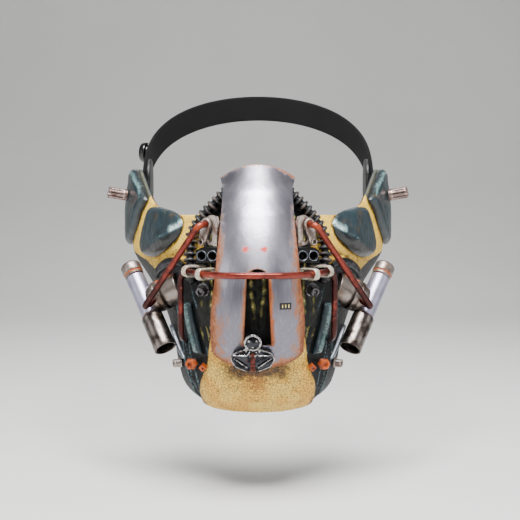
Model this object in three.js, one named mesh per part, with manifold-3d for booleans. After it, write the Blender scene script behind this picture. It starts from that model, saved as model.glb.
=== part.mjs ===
// Half mask with a steel front plate, guard rods, hoses and side canisters.
// Millimetres, +Z up, X to the viewer's right, the front faces -Y.
// The origin is the centre of the wearer's head, between the two ear studs.

import * as THREE from "three";
import { mergeVertices } from "three/addons/utils/BufferGeometryUtils.js";
import Module from "manifold-3d";

const wasm = await Module();
wasm.setup();

// Face form: the moulded outer surface that every piece seats on
const FACE_HALF_WIDTH = 88;
const FACE_REACH = 131;
const FACE_HEIGHT = 150;
const REAR_RIM = 14;
const CHEEK_FLARE = 6.5;
const SHELL_WALL = 3;

// Clearances between neighbours
const SEAT_GAP = 0.6;
const CUT_GAP = 0.35;
const PIN_GAP = 0.3;

// Soft and moulded covers
const PAD_THICKNESS = 6;
const LOBE_THICKNESS = 5.2;
const CHIN_THICKNESS = 5;
const CORE_DEPTH = 12;
const BAND_THICKNESS = 3.4;
const STRIP_THICKNESS = 2;
const ARCH_RADIUS = 2.8;

// Centre plate
const PLATE_STANDOFF = 15;
const PLATE_HALF_WIDTH = 27;
const PLATE_WALL = 1.8;
const PLATE_CROWN = 10;
const SLOT_HALF_WIDTH = 8;

// Rods, rings and straps of metal
const GUARD_RADIUS = 1.9;
const GUARD_STANDOFF = 20;
const GUARD_BEND = 7;
const CHEEK_ROD_RADIUS = 2;
const CHEEK_ROD_BEND = 5;
const CLAMP_WALL = 1.4;
const CLAMP_WIDTH = 3.6;
const CLAMP_RUN = 15;
const CLAMP_NUT_SIZE = 6.6;
const BRACKET_LENGTH = 19;
const BRACKET_WIDTH = 8.4;
const BRACKET_THICKNESS = 2.6;
const LINK_LENGTH = 11.6;
const LINK_EYE = 7.6;
const LINK_THICKNESS = 2;
const LINK_SMALL_HOLE = 2.6;

// Hoses and ports
const HOSE_RADIUS = 4.2;
const HOSE_GROOVE = 1.1;
const HOSE_RIDGES = 17;
const PORT_WIDTH = 14.5;
const PORT_HEIGHT = 9.6;
const PORT_DEPTH = 13;
const PORT_BORE = 4.4;

// Filter boss and canister
const BOSS_RADIUS = 10;
const CANISTER_RADIUS = 6.3;
const CANISTER_LENGTH = 67;
const CUP_RADIUS = 7.4;
const CUP_WALL = 1.2;
const CAP_RADIUS = 6.8;

// Small fittings
const STUD_RADIUS = 4.2;
const STUD_LENGTH = 13.2;
const STUD_FLUTES = 10;
const BOLT_RADIUS = 2.7;
const BOLT_LENGTH = 5;
const PLUG_RADIUS = 3.75;
const PLUG_LENGTH = 9;
const CASTING_HALF_WIDTH = 13;
const CASTING_THICKNESS = 6;

// Head strap
const STRAP_WIDTH = 20;
const STRAP_THICKNESS = 2.5;
const HEAD_BACK = 92;
const STRAP_RISE = 62;
const TAB_LENGTH = 34;
const TAB_WIDTH = 26;
const TAB_THICKNESS = 2.6;
const KNOB_RADIUS = 8;
const KNOB_LENGTH = 8;

// Section of the face at each level, as shares of the half width, reach and flare.
// A power of 2 is an ellipse, and a lower one brings the front to a ridge.
const FACE_ROWS = [
  { level: -0.2, width: 0.97, reach: 0.7, power: 1.4, flare: 0.5 },
  { level: 0.0, width: 1.0, reach: 0.83, power: 1.42, flare: 0.85 },
  { level: 0.1, width: 1.0, reach: 0.91, power: 1.45, flare: 1.0 },
  { level: 0.27, width: 0.98, reach: 0.99, power: 1.5, flare: 1.0 },
  { level: 0.42, width: 0.92, reach: 1.0, power: 1.6, flare: 0.4 },
  { level: 0.6, width: 0.86, reach: 0.97, power: 1.8, flare: 0.0 },
  { level: 0.74, width: 0.8, reach: 0.93, power: 2.1, flare: 0.0 },
  { level: 0.83, width: 0.75, reach: 0.87, power: 2.3, flare: 0.0 },
  { level: 0.925, width: 0.66, reach: 0.71, power: 2.3, flare: 0.0 },
];

// Rims of the shell, from the middle of the face round to the ear
const RIM_ROWS = [
  { around: 0.0, top: -0.03, bottom: 0.92 },
  { around: 0.12, top: -0.01, bottom: 0.92 },
  { around: 0.2, top: 0.06, bottom: 0.915 },
  { around: 0.28, top: 0.085, bottom: 0.895 },
  { around: 0.34, top: 0.09, bottom: 0.86 },
  { around: 0.39, top: 0.09, bottom: 0.79 },
  { around: 0.46, top: 0.085, bottom: 0.64 },
  { around: 0.56, top: 0.065, bottom: 0.51 },
  { around: 0.64, top: 0.035, bottom: 0.45 },
  { around: 0.7, top: -0.01, bottom: 0.41 },
  { around: 0.8, top: -0.085, bottom: 0.335 },
  { around: 0.88, top: -0.125, bottom: 0.285 },
  { around: 1.0, top: -0.11, bottom: 0.24 },
];

// Corners of a body closer than this are one corner
const MERGE_DISTANCE = 1e-4;

// A bend takes at most this share of the straight run on each side of it
const BEND_LIMIT = 0.45;

// Cells along and down each bent sheet
const SHEET_CELLS = {
  cutter: [48, 18],
  shell: [32, 9],
  core: [12, 12],
  plate: [8, 12],
  strap: [32, 1],
};

// Sides of the round pieces, and steps and sides of the rods
const SIDES = { nut: 6, bolt: 12, stem: 12, flange: 16, canister: 16, boss: 20, knob: 20, room: 24 };
const GUARD_MESH = { steps: 48, sides: 8 };
const CHEEK_ROD_MESH = { steps: 24, sides: 8 };
const ARCH_MESH = { steps: 12, sides: 8 };
const HOSE_SIDES = 6;

const COLOURS = {
  cream: 0xe3d08a,
  chinCream: 0xd9bc7a,
  slate: 0x3e5660,
  darkSlate: 0x26343a,
  core: 0x35352a,
  steel: 0xa9a6ae,
  copper: 0xa5503f,
  silver: 0xb9aaa6,
  aged: 0xd5c9b8,
  black: 0x1c1c1e,
  rubber: 0x26262a,
  canister: 0xa8a6b4,
  rust: 0x96674a,
  cup: 0x6b625c,
  orange: 0xd9561e,
  gunmetal: 0x4b4c50,
};

const mask = new THREE.Group();
mask.name = "half_mask";

// Value of one column of a table, eased between its rows.
function valueAt(rows, key, column, place) {
  const last = rows.length - 1;
  const held = THREE.MathUtils.clamp(place, rows[0][key], rows[last][key]);
  let row = 0;
  while (row < last - 1 && held > rows[row + 1][key]) row += 1;
  const slope = (at) => {
    const low = rows[Math.max(at - 1, 0)];
    const high = rows[Math.min(at + 1, last)];
    return (high[column] - low[column]) / (high[key] - low[key]);
  };
  const span = rows[row + 1][key] - rows[row][key];
  const share = (held - rows[row][key]) / span;
  const start = rows[row][column];
  const end = rows[row + 1][column];
  const cube = share ** 3;
  const square = share ** 2;
  return start * (2 * cube - 3 * square + 1)
    + slope(row) * span * (cube - 2 * square + share)
    + end * (3 * square - 2 * cube)
    + slope(row + 1) * span * (cube - square);
}

// Half of the face's section at one level, from the middle of the front to the ear.
class FaceSection extends THREE.Curve {
  constructor(level) {
    super();
    this.height = -level * FACE_HEIGHT;
    this.halfWidth = FACE_HALF_WIDTH * valueAt(FACE_ROWS, "level", "width", level);
    this.depth = FACE_REACH * valueAt(FACE_ROWS, "level", "reach", level) + REAR_RIM;
    this.power = valueAt(FACE_ROWS, "level", "power", level);
    this.flare = CHEEK_FLARE * valueAt(FACE_ROWS, "level", "flare", level);
  }

  getPoint(share, target = new THREE.Vector3()) {
    const angle = share * Math.PI / 2;
    const across = Math.sin(angle) ** (2 / this.power);
    const forward = Math.max(Math.cos(angle), 0) ** (2 / this.power);
    const bulge = this.flare * Math.sin(Math.PI * share ** 4);
    return target.set(
      this.halfWidth * across + bulge, REAR_RIM - this.depth * forward, this.height);
  }

  frontAt(x) {
    const across = Math.min(Math.abs(x) / this.halfWidth, 1);
    return REAR_RIM - this.depth * (1 - across ** this.power) ** (1 / this.power);
  }
}

const sections = new Map();

function sectionAt(level) {
  if (!sections.has(level)) sections.set(level, new FaceSection(level));
  return sections.get(level);
}

// Point of the face: around runs from -1 at the left ear to 1 at the right one,
// level from 0 at the studs down to 1, and offset stands out from the surface.
function facePoint(around, level, offset = 0) {
  const bare = (side, height) => {
    const point = sectionAt(height).getPointAt(Math.min(Math.abs(side), 1));
    if (side < 0) point.x = -point.x;
    return point;
  };
  const point = bare(around, level);
  if (offset === 0) return point;
  return point.addScaledVector(faceNormal(around, level, bare), offset);
}

// Outward normal of the face, from two small steps on it.
function faceNormal(around, level, bare = (side, height) => facePoint(side, height)) {
  const step = 0.004;
  const held = THREE.MathUtils.clamp(around, step - 1, 1 - step);
  const across = bare(held + step, level).sub(bare(held - step, level));
  const down = bare(held, level + step).sub(bare(held, level - step));
  return down.cross(across).normalize();
}

// Point in front of the face: across is a share of the half width, proud stands out to -Y.
function frontPoint(across, level, proud) {
  const x = across * FACE_HALF_WIDTH;
  return new THREE.Vector3(x, sectionAt(level).frontAt(x) - proud, -level * FACE_HEIGHT);
}

// One closed body with shared corners, no empty triangles and its faces pointing out.
function closed(geometry) {
  const bare = new THREE.BufferGeometry();
  bare.setAttribute("position", geometry.getAttribute("position").clone());
  if (geometry.index) bare.setIndex(geometry.index.clone());
  const merged = mergeVertices(bare, MERGE_DISTANCE);
  const corners = merged.getIndex().array;
  const kept = [];
  for (let at = 0; at < corners.length; at += 3) {
    const [a, b, c] = corners.subarray(at, at + 3);
    if (a !== b && b !== c && c !== a) kept.push(a, b, c);
  }
  if (signedVolume(merged.getAttribute("position"), kept) < 0) kept.reverse();
  merged.setIndex(kept);
  return merged;
}

function signedVolume(position, corners) {
  const [a, b, c] = [new THREE.Vector3(), new THREE.Vector3(), new THREE.Vector3()];
  let volume = 0;
  for (let at = 0; at < corners.length; at += 3) {
    a.fromBufferAttribute(position, corners[at]);
    b.fromBufferAttribute(position, corners[at + 1]);
    c.fromBufferAttribute(position, corners[at + 2]);
    volume += a.dot(b.cross(c)) / 6;
  }
  return volume;
}

// Moves every corner of a geometry to where the rule puts it.
function reshaped(geometry, rule) {
  const position = geometry.getAttribute("position");
  const corner = new THREE.Vector3();
  for (let at = 0; at < position.count; at += 1) {
    corner.fromBufferAttribute(position, at);
    const moved = rule(corner.clone());
    position.setXYZ(at, moved.x, moved.y, moved.z);
  }
  return closed(geometry);
}

function toSolid(geometry) {
  const ready = closed(geometry);
  return new wasm.Manifold(new wasm.Mesh({
    numProp: 3,
    vertProperties: new Float32Array(ready.getAttribute("position").array),
    triVerts: new Uint32Array(ready.getIndex().array),
  }));
}

// The largest body of a solid, as a three.js geometry.
function toGeometry(solid) {
  const bodies = solid.decompose();
  const size = (body) => body.volume();
  const main = bodies.reduce((best, body) => (size(body) > size(best) ? body : best));
  const mesh = main.getMesh();
  const geometry = new THREE.BufferGeometry();
  geometry.setAttribute("position", new THREE.BufferAttribute(mesh.vertProperties, 3));
  geometry.setIndex(new THREE.BufferAttribute(mesh.triVerts, 1));
  return closed(geometry);
}

function cut(geometry, ...cutters) {
  let solid = toSolid(geometry);
  for (const cutter of cutters) solid = solid.subtract(cutter);
  return toGeometry(solid);
}

function joined(...geometries) {
  return toGeometry(geometries.map(toSolid).reduce((sum, next) => sum.add(next)));
}

function placed(geometry, position, turn = new THREE.Quaternion()) {
  const matrix = new THREE.Matrix4().compose(position, turn, new THREE.Vector3(1, 1, 1));
  return geometry.clone().applyMatrix4(matrix);
}

// Turn that takes the local +Z axis to a direction, with local +X kept level.
function facing(direction) {
  const z = direction.clone().normalize();
  const x = new THREE.Vector3(0, 0, 1).cross(z).normalize();
  const y = z.clone().cross(x);
  return new THREE.Quaternion().setFromRotationMatrix(new THREE.Matrix4().makeBasis(x, y, z));
}

function finish(colour, roughness, metalness) {
  return { color: colour, roughness, metalness, flatShading: true };
}

function add(name, geometry, look, position = new THREE.Vector3(), turn = new THREE.Quaternion()) {
  const mesh = new THREE.Mesh(geometry, new THREE.MeshStandardMaterial(look));
  mesh.name = name;
  mesh.position.copy(position);
  mesh.quaternion.copy(turn);
  mask.add(mesh);
}

// Adds a piece on the viewer's right and its mirror image on the left.
function addPair(name, geometry, look, position = new THREE.Vector3(), turn = new THREE.Quaternion()) {
  add(`${name}_right`, geometry, look, position, turn);
  const mirrored = closed(geometry.clone().scale(-1, 1, 1));
  const leftPosition = new THREE.Vector3(-position.x, position.y, position.z);
  const leftTurn = new THREE.Quaternion(turn.x, -turn.y, -turn.z, turn.w);
  add(`${name}_left`, mirrored, look, leftPosition, leftTurn);
}

// Solid of the whole face form, from a clearance outside it to deep inside the head.
function faceCutter() {
  const top = FACE_ROWS[0].level;
  const bottom = FACE_ROWS[FACE_ROWS.length - 1].level;
  const depthShare = 0.45;
  return toSolid(reshaped(new THREE.BoxGeometry(2, 1, 1, ...SHEET_CELLS.cutter, 1), (corner) => {
    const level = THREE.MathUtils.lerp(bottom, top, corner.y + 0.5);
    if (corner.z > 0) return facePoint(corner.x, level, CUT_GAP);
    const inner = facePoint(corner.x, level);
    return new THREE.Vector3(inner.x * depthShare, inner.y * depthShare, inner.z);
  }));
}

// Moulded shell between its two rims.
function faceShell() {
  return reshaped(new THREE.BoxGeometry(2, 1, 1, ...SHEET_CELLS.shell, 1), (corner) => {
    const side = Math.abs(corner.x);
    const top = valueAt(RIM_ROWS, "around", "top", side);
    const bottom = valueAt(RIM_ROWS, "around", "bottom", side);
    const level = THREE.MathUtils.lerp(bottom, top, corner.y + 0.5);
    return facePoint(corner.x, level, corner.z > 0 ? 0 : -SHELL_WALL);
  });
}

// Edge of a cover: how high its side stands and how far its top is drawn in
const COVER_EDGE = { side: 0.55, top: 0.9 };

// Cover of any rounded outline, bent onto the face from a flat puck.
// The outline is a closed list of places on the face, around its middle.
function faceCover(outline, middle, thickness, { spokes, rings, crown }, grow = 1) {
  const curve = new THREE.CatmullRomCurve3(
    outline.map(({ around, level }) => new THREE.Vector3(around, level, 0)), true, "centripetal");
  const profile = [new THREE.Vector2(0, 0)];
  for (let ring = 1; ring <= rings; ring += 1) profile.push(new THREE.Vector2(ring / rings, 0));
  profile.push(new THREE.Vector2(1, COVER_EDGE.side));
  for (let ring = rings; ring >= 0; ring -= 1) {
    const radius = (ring / rings) * COVER_EDGE.top;
    profile.push(new THREE.Vector2(radius, 1 - crown * radius ** 2));
  }
  const puck = new THREE.LatheGeometry(profile, spokes);
  return reshaped(puck, (corner) => {
    const radius = Math.hypot(corner.x, corner.z);
    const turn = Math.atan2(corner.z, corner.x) / (2 * Math.PI);
    const edge = curve.getPointAt(turn - Math.floor(turn));
    const around = THREE.MathUtils.lerp(middle.around, edge.x, radius * grow);
    const level = THREE.MathUtils.lerp(middle.level, edge.y, radius * grow);
    return facePoint(around, level, SEAT_GAP + corner.y * thickness);
  });
}

// Width of a ribbon's top as a share of its foot
const RIBBON_TOP = 0.72;

// Ribbon down the face: each row gives its middle and its half width round the face.
function faceRibbon(rows, thickness, steps) {
  const top = rows[0].level;
  const bottom = rows[rows.length - 1].level;
  return reshaped(new THREE.BoxGeometry(2, 1, 1, 2, steps, 1), (corner) => {
    const level = THREE.MathUtils.lerp(bottom, top, corner.y + 0.5);
    const middle = valueAt(rows, "level", "around", level);
    const half = valueAt(rows, "level", "half", level);
    const edge = corner.z > 0 ? RIBBON_TOP : 1;
    const lift = corner.z > 0 ? thickness : 0;
    return facePoint(middle + corner.x * half * edge, level, SEAT_GAP + lift);
  });
}

const LOBE_MIDDLE = { around: 0.86, level: 0.06 };
const LOBE_SHAPE = { spokes: 22, rings: 3, crown: 0.2 };
const LOBE_OUTLINE = [
  { around: 0.985, level: 0.05 },
  { around: 0.985, level: 0.16 },
  { around: 0.955, level: 0.21 },
  { around: 0.9, level: 0.24 },
  { around: 0.86, level: 0.228 },
  { around: 0.815, level: 0.19 },
  { around: 0.775, level: 0.15 },
  { around: 0.74, level: 0.1 },
  { around: 0.71, level: 0.06 },
  { around: 0.685, level: 0.03 },
  { around: 0.72, level: -0.01 },
  { around: 0.765, level: -0.045 },
  { around: 0.82, level: -0.085 },
  { around: 0.88, level: -0.12 },
  { around: 0.94, level: -0.12 },
  { around: 0.975, level: -0.06 },
];

const PAD_MIDDLE = { around: 0.55, level: 0.18 };
const PAD_SHAPE = { spokes: 20, rings: 3, crown: 0.25 };
const PAD_OUTLINE = [
  { around: 0.705, level: 0.235 },
  { around: 0.685, level: 0.27 },
  { around: 0.61, level: 0.285 },
  { around: 0.525, level: 0.265 },
  { around: 0.445, level: 0.225 },
  { around: 0.39, level: 0.18 },
  { around: 0.372, level: 0.13 },
  { around: 0.41, level: 0.09 },
  { around: 0.5, level: 0.068 },
  { around: 0.59, level: 0.06 },
  { around: 0.63, level: 0.068 },
  { around: 0.66, level: 0.11 },
  { around: 0.688, level: 0.175 },
];

// Right half of the chin's edge, from the middle of its foot up to the middle of its top
const CHIN_HALF_OUTLINE = [
  { around: 0.0, level: 0.92 },
  { around: 0.13, level: 0.915 },
  { around: 0.215, level: 0.905 },
  { around: 0.25, level: 0.88 },
  { around: 0.245, level: 0.83 },
  { around: 0.23, level: 0.78 },
  { around: 0.21, level: 0.735 },
  { around: 0.2, level: 0.7 },
  { around: 0.195, level: 0.65 },
  { around: 0.19, level: 0.6 },
  { around: 0.18, level: 0.58 },
  { around: 0.155, level: 0.59 },
  { around: 0.09, level: 0.61 },
  { around: 0.0, level: 0.615 },
];

// The whole chin outline, from its right half and the mirror of it.
function chinOutline() {
  const last = CHIN_HALF_OUTLINE.length - 1;
  const left = CHIN_HALF_OUTLINE.slice(1, last).reverse()
    .map(({ around, level }) => ({ around: -around, level }));
  return [...CHIN_HALF_OUTLINE, ...left];
}

const CHIN_MIDDLE = { around: 0, level: 0.76 };
const CHIN_SHAPE = { spokes: 28, rings: 7, crown: 0.15 };

function chinCup() {
  return faceCover(chinOutline(), CHIN_MIDDLE, CHIN_THICKNESS, CHIN_SHAPE);
}

// Clearance solid round the chin cup.
function chinCutter() {
  return toSolid(faceCover(
    chinOutline(), CHIN_MIDDLE, CHIN_THICKNESS + SEAT_GAP, CHIN_SHAPE,
    1 + SEAT_GAP / CHIN_THICKNESS));
}

const BAND_ROWS = [
  { level: 0.465, around: 0.33, half: 0.02 },
  { level: 0.53, around: 0.315, half: 0.024 },
  { level: 0.6, around: 0.285, half: 0.024 },
  { level: 0.675, around: 0.248, half: 0.022 },
];

const STRIP_ROWS = [
  { level: 0.575, around: 0.48, half: 0.008 },
  { level: 0.645, around: 0.415, half: 0.012 },
  { level: 0.71, around: 0.345, half: 0.016 },
];

// Half width of the core round the face, and its depth as a share of the core's depth
const CORE_ROWS = [
  { level: 0.01, half: 0.1, depth: 0.3 },
  { level: 0.06, half: 0.135, depth: 0.5 },
  { level: 0.13, half: 0.175, depth: 0.65 },
  { level: 0.22, half: 0.215, depth: 0.8 },
  { level: 0.3, half: 0.235, depth: 0.95 },
  { level: 0.4, half: 0.245, depth: 1.0 },
  { level: 0.48, half: 0.265, depth: 0.85 },
  { level: 0.55, half: 0.25, depth: 0.45 },
];

// The core's front is hollowed along its middle and rounded off at its flanks
const CORE_HOLLOW = 0.7;
const CORE_ROUNDING = 0.25;

// Sculpted body behind the plate: its front is blunter than the face under it.
function coreCorner(corner, clearance) {
  const top = CORE_ROWS[0].level;
  const bottom = CORE_ROWS[CORE_ROWS.length - 1].level;
  const level = THREE.MathUtils.lerp(bottom, top, corner.y + 0.5);
  const half = valueAt(CORE_ROWS, "level", "half", level);
  const seat = facePoint(corner.x * half, level, SEAT_GAP);
  if (corner.z < 0) return seat;
  const flank = Math.abs(corner.x);
  const hollow = 1 - CORE_HOLLOW * (1 - flank ** 2);
  const rounding = 1 - CORE_ROUNDING * flank ** 6;
  const share = valueAt(CORE_ROWS, "level", "depth", level) * hollow * rounding;
  seat.y -= share * CORE_DEPTH + clearance;
  seat.x *= 1 + clearance / FACE_HALF_WIDTH;
  return seat;
}

function jawCore() {
  const block = new THREE.BoxGeometry(2, 1, 1, ...SHEET_CELLS.core, 1);
  return reshaped(block, (corner) => coreCorner(corner, 0));
}

// Clearance solid round the core: a little wider, deeper and taller than it.
function coreCutter() {
  const grow = 1 + CUT_GAP / CORE_DEPTH;
  const block = new THREE.BoxGeometry(2 * grow, grow, 1, ...SHEET_CELLS.core, 1);
  return toSolid(reshaped(block, (corner) => {
    const point = coreCorner(corner, CUT_GAP);
    if (corner.z < 0) point.y += SHELL_WALL;
    return point;
  }));
}

// Centre line of the plate: its place in front of the face and its half width
const PLATE_ROWS = [
  { level: -0.118, width: 0.83, proud: 0.42 },
  { level: -0.06, width: 0.78, proud: 0.62 },
  { level: 0.0, width: 0.76, proud: 0.8 },
  { level: 0.12, width: 0.79, proud: 0.88 },
  { level: 0.25, width: 0.86, proud: 0.92 },
  { level: 0.35, width: 0.91, proud: 1.0 },
  { level: 0.5, width: 1.0, proud: 1.08 },
  { level: 0.62, width: 1.0, proud: 0.84 },
  { level: 0.705, width: 0.96, proud: 0.55 },
];

// The plate's upper edge falls away from its middle, and its foot rises to its corners.
// Each takes effect over a band next to that edge.
const PLATE_TOP_FALL = { share: 0.052, band: 0.12 };
const PLATE_FOOT_RISE = { share: 0.045, band: 0.07 };

// Corner of the plate: across runs from -1 to 1, lift stands out from its back.
function plateCorner(across, level, lift) {
  const top = PLATE_ROWS[0].level;
  const bottom = PLATE_ROWS[PLATE_ROWS.length - 1].level;
  const half = PLATE_HALF_WIDTH * valueAt(PLATE_ROWS, "level", "width", level);
  const proud = PLATE_STANDOFF * valueAt(PLATE_ROWS, "level", "proud", level);
  const middle = frontPoint(0, level, proud);
  const { band: topBand, share: fall } = PLATE_TOP_FALL;
  const { band: footBand, share: rise } = PLATE_FOOT_RISE;
  const nearTop = THREE.MathUtils.smoothstep(top + topBand - level, 0, topBand);
  const nearFoot = THREE.MathUtils.smoothstep(level - bottom + footBand, 0, footBand);
  const drop = fall * nearTop * across ** 2 - rise * nearFoot * Math.abs(across) ** 3;
  const lean = across * 2 * PLATE_CROWN / half;
  const out = new THREE.Vector3(lean, -1, 0).normalize();
  middle.x = across * half;
  middle.y += PLATE_CROWN * across ** 2;
  middle.z -= drop * FACE_HEIGHT;
  return middle.addScaledVector(out, lift);
}

function plateSheet(back, front) {
  const top = PLATE_ROWS[0].level;
  const bottom = PLATE_ROWS[PLATE_ROWS.length - 1].level;
  return reshaped(new THREE.BoxGeometry(2, 1, 1, ...SHEET_CELLS.plate, 1), (corner) => {
    const level = THREE.MathUtils.lerp(bottom, top, corner.y + 0.5);
    return plateCorner(corner.x, level, corner.z > 0 ? front : back);
  });
}

// Levels of the slot's ends, and its half width near the top as a share of that at its foot
const SLOT_PLACE = { top: 0.3, foot: 0.61, crown: 0.8 };

// Long slot with a round top, a little wider at its foot.
function slotCutter() {
  const top = -SLOT_PLACE.top * FACE_HEIGHT;
  const foot = -SLOT_PLACE.foot * FACE_HEIGHT;
  const crown = SLOT_HALF_WIDTH * SLOT_PLACE.crown;
  const outline = new THREE.Shape();
  outline.moveTo(-SLOT_HALF_WIDTH, foot);
  outline.lineTo(SLOT_HALF_WIDTH, foot);
  outline.lineTo(crown, top - crown);
  outline.absellipse(0, top - crown, crown, crown, 0, Math.PI, false);
  outline.closePath();
  const prism = new THREE.ExtrudeGeometry(outline, {
    depth: FACE_REACH, bevelEnabled: false, curveSegments: 8,
  });
  return toSolid(prism.rotateX(Math.PI / 2).translate(0, -FACE_REACH / 2, 0));
}

function centrePlate() {
  return cut(plateSheet(0, PLATE_WALL), slotCutter());
}

// Clearance solid round the plate, before its slot is cut.
function plateCutter() {
  return toSolid(plateSheet(-CUT_GAP, PLATE_WALL + CUT_GAP));
}

// Smooth curve through a list of places.
function smoothCurve(points) {
  return new THREE.CatmullRomCurve3(points, false, "centripetal");
}

// Straight runs joined by round bends, like a bent wire.
function bentWire(points, bend) {
  const path = new THREE.CurvePath();
  let from = points[0];
  for (let at = 1; at < points.length - 1; at += 1) {
    const corner = points[at];
    const before = corner.clone().sub(points[at - 1]);
    const after = points[at + 1].clone().sub(corner);
    const reach = Math.min(bend, before.length() * BEND_LIMIT, after.length() * BEND_LIMIT);
    const start = corner.clone().addScaledVector(before.normalize(), -reach);
    const end = corner.clone().addScaledVector(after.normalize(), reach);
    path.add(new THREE.LineCurve3(from, start));
    path.add(new THREE.QuadraticBezierCurve3(start, corner, end));
    from = end;
  }
  path.add(new THREE.LineCurve3(from, points[points.length - 1]));
  return path;
}

function rod(path, radius, { steps, sides }) {
  const section = new THREE.Shape();
  section.absarc(0, 0, radius, 0, 2 * Math.PI, false);
  return new THREE.ExtrudeGeometry(section, {
    steps, extrudePath: path, curveSegments: sides / 2, bevelEnabled: false,
  });
}

const GUARD_PLACES = [
  { across: 0.0, level: 0.325, proud: 1.1 },
  { across: 0.2, level: 0.326, proud: 1.36 },
  { across: 0.392, level: 0.327, proud: 1.45 },
  { across: 0.513, level: 0.317, proud: 1.5 },
  { across: 0.54, level: 0.35, proud: 1.45 },
  { across: 0.54, level: 0.595, proud: 1.2 },
];
const GUARD_END = { around: 0.345, level: 0.628 };

function guardPath() {
  const half = GUARD_PLACES.map(({ across, level, proud }) =>
    frontPoint(across, level, proud * GUARD_STANDOFF));
  half.push(facePoint(GUARD_END.around, GUARD_END.level));
  const left = half.slice(1).reverse().map(({ x, y, z }) => new THREE.Vector3(-x, y, z));
  return bentWire([...left, ...half], GUARD_BEND);
}

// Ring places of the clamps on the guard rod, and how far each strap runs back
const CLAMP_ROWS = [
  { name: "clamp_inner", from: 1, to: 2, share: 0.97, run: 0.85 },
  { name: "clamp_outer", from: 2, to: 3, share: 0.78, run: 1.3 },
];

// Place of a clamp's ring on the guard rod: local +Z along the rod, local +Y in and back.
function clampFrame({ from, to, share }) {
  const [start, end] = [from, to].map((at) => {
    const { across, level, proud } = GUARD_PLACES[at];
    return frontPoint(across, level, proud * GUARD_STANDOFF);
  });
  const along = end.clone().sub(start).normalize();
  const inward = new THREE.Vector3(-along.y, along.x, 0).normalize();
  const basis = new THREE.Matrix4().makeBasis(inward.clone().cross(along), inward, along);
  return {
    middle: start.lerp(end, share),
    turn: new THREE.Quaternion().setFromRotationMatrix(basis),
  };
}

// Flat metal strap that loops round the guard rod and runs back to the core.
function clampStrap(run) {
  const inner = GUARD_RADIUS + PIN_GAP;
  const outer = inner + CLAMP_WALL;
  const loop = stadium(outer, run);
  loop.holes.push(stadium(inner, run));
  const strap = new THREE.ExtrudeGeometry(loop, {
    depth: CLAMP_WIDTH, bevelEnabled: false, curveSegments: 6,
  });
  return strap.translate(0, 0, -CLAMP_WIDTH / 2);
}

// Slot outline with round ends: one end at the origin, the other at run along +Y.
function stadium(radius, run) {
  const outline = new THREE.Shape();
  outline.absarc(0, run, radius, 0, Math.PI, false);
  outline.absarc(0, 0, radius, Math.PI, 2 * Math.PI, false);
  outline.closePath();
  return outline;
}

const NUT_PLACE = { around: 0.2, level: 0.38 };
const NUT_DIRECTION = new THREE.Vector3(0.35, -1, -0.2);

// Six-sided nut on the core, below the inner clamp.
function clampNut() {
  const seat = facePoint(NUT_PLACE.around, NUT_PLACE.level);
  const nut = cylinder(CLAMP_NUT_SIZE / 2, CORE_DEPTH * 3, SIDES.nut);
  return cut(placed(nut, seat, facing(NUT_DIRECTION)), coreSolid, faceSolid);
}

function cylinder(radius, length, sides) {
  return new THREE.CylinderGeometry(radius, radius, length, sides).rotateX(Math.PI / 2);
}

function turned(profile, sides) {
  const points = profile.map(({ radius, along }) => new THREE.Vector2(radius, along));
  return new THREE.LatheGeometry(points, sides).rotateX(Math.PI / 2);
}

const HOSE_PLACES = [
  { around: 0.115, level: 0.01, lift: 1.2 },
  { around: 0.145, level: 0.035, lift: 1.15 },
  { around: 0.18, level: 0.07, lift: 1.15 },
  { around: 0.215, level: 0.1, lift: 1.15 },
  { around: 0.25, level: 0.14, lift: 1.15 },
  { around: 0.275, level: 0.185, lift: 1.15 },
  { around: 0.28, level: 0.235, lift: 1.15 },
  { around: 0.28, level: 0.285, lift: 1.15 },
  { around: 0.275, level: 0.33, lift: 1.15 },
  { around: 0.265, level: 0.375, lift: 1.15 },
];

// Corrugated hose: a tube whose radius rises and falls along its length.
function hose() {
  const path = smoothCurve(HOSE_PLACES.map(({ around, level, lift }) =>
    facePoint(around, level, lift * HOSE_RADIUS)));
  const steps = HOSE_RIDGES * 2;
  const tube = rod(path, HOSE_RADIUS, { steps, sides: HOSE_SIDES });
  const middles = path.getSpacedPoints(steps);
  const ridged = reshaped(tube, (corner) => {
    const nearest = middles.reduce((best, middle, at) =>
      (middle.distanceTo(corner) < middles[best].distanceTo(corner) ? at : best), 0);
    const shrink = nearest % 2 === 0 ? 1 - HOSE_GROOVE / HOSE_RADIUS : 1;
    return corner.sub(middles[nearest]).multiplyScalar(shrink).add(middles[nearest]);
  });
  return cut(ridged, plateSolid);
}

// Fittings beside the plate share one direction, out and forward
const FITTING_DIRECTION = new THREE.Vector3(0.62, -0.76, -0.12).normalize();
const BRACKET_PLACE = { across: 0.305, level: 0.153, proud: 0.8 };
const BRACKET_TILT = 0.08;
const LINK_TILT = 0.38;
const LUG_PLACE = { across: 0.86, level: 0.16, back: 0.3 };

// Shares of the bracket's half width: its slot, its leg's width and how far aside the leg is
const BRACKET_SLOT = 0.45;
const BRACKET_LEG = { width: 0.8, aside: 0.6 };

function fittingTurn(tilt) {
  return facing(FITTING_DIRECTION).multiply(
    new THREE.Quaternion().setFromAxisAngle(new THREE.Vector3(0, 0, 1), tilt));
}

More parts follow.
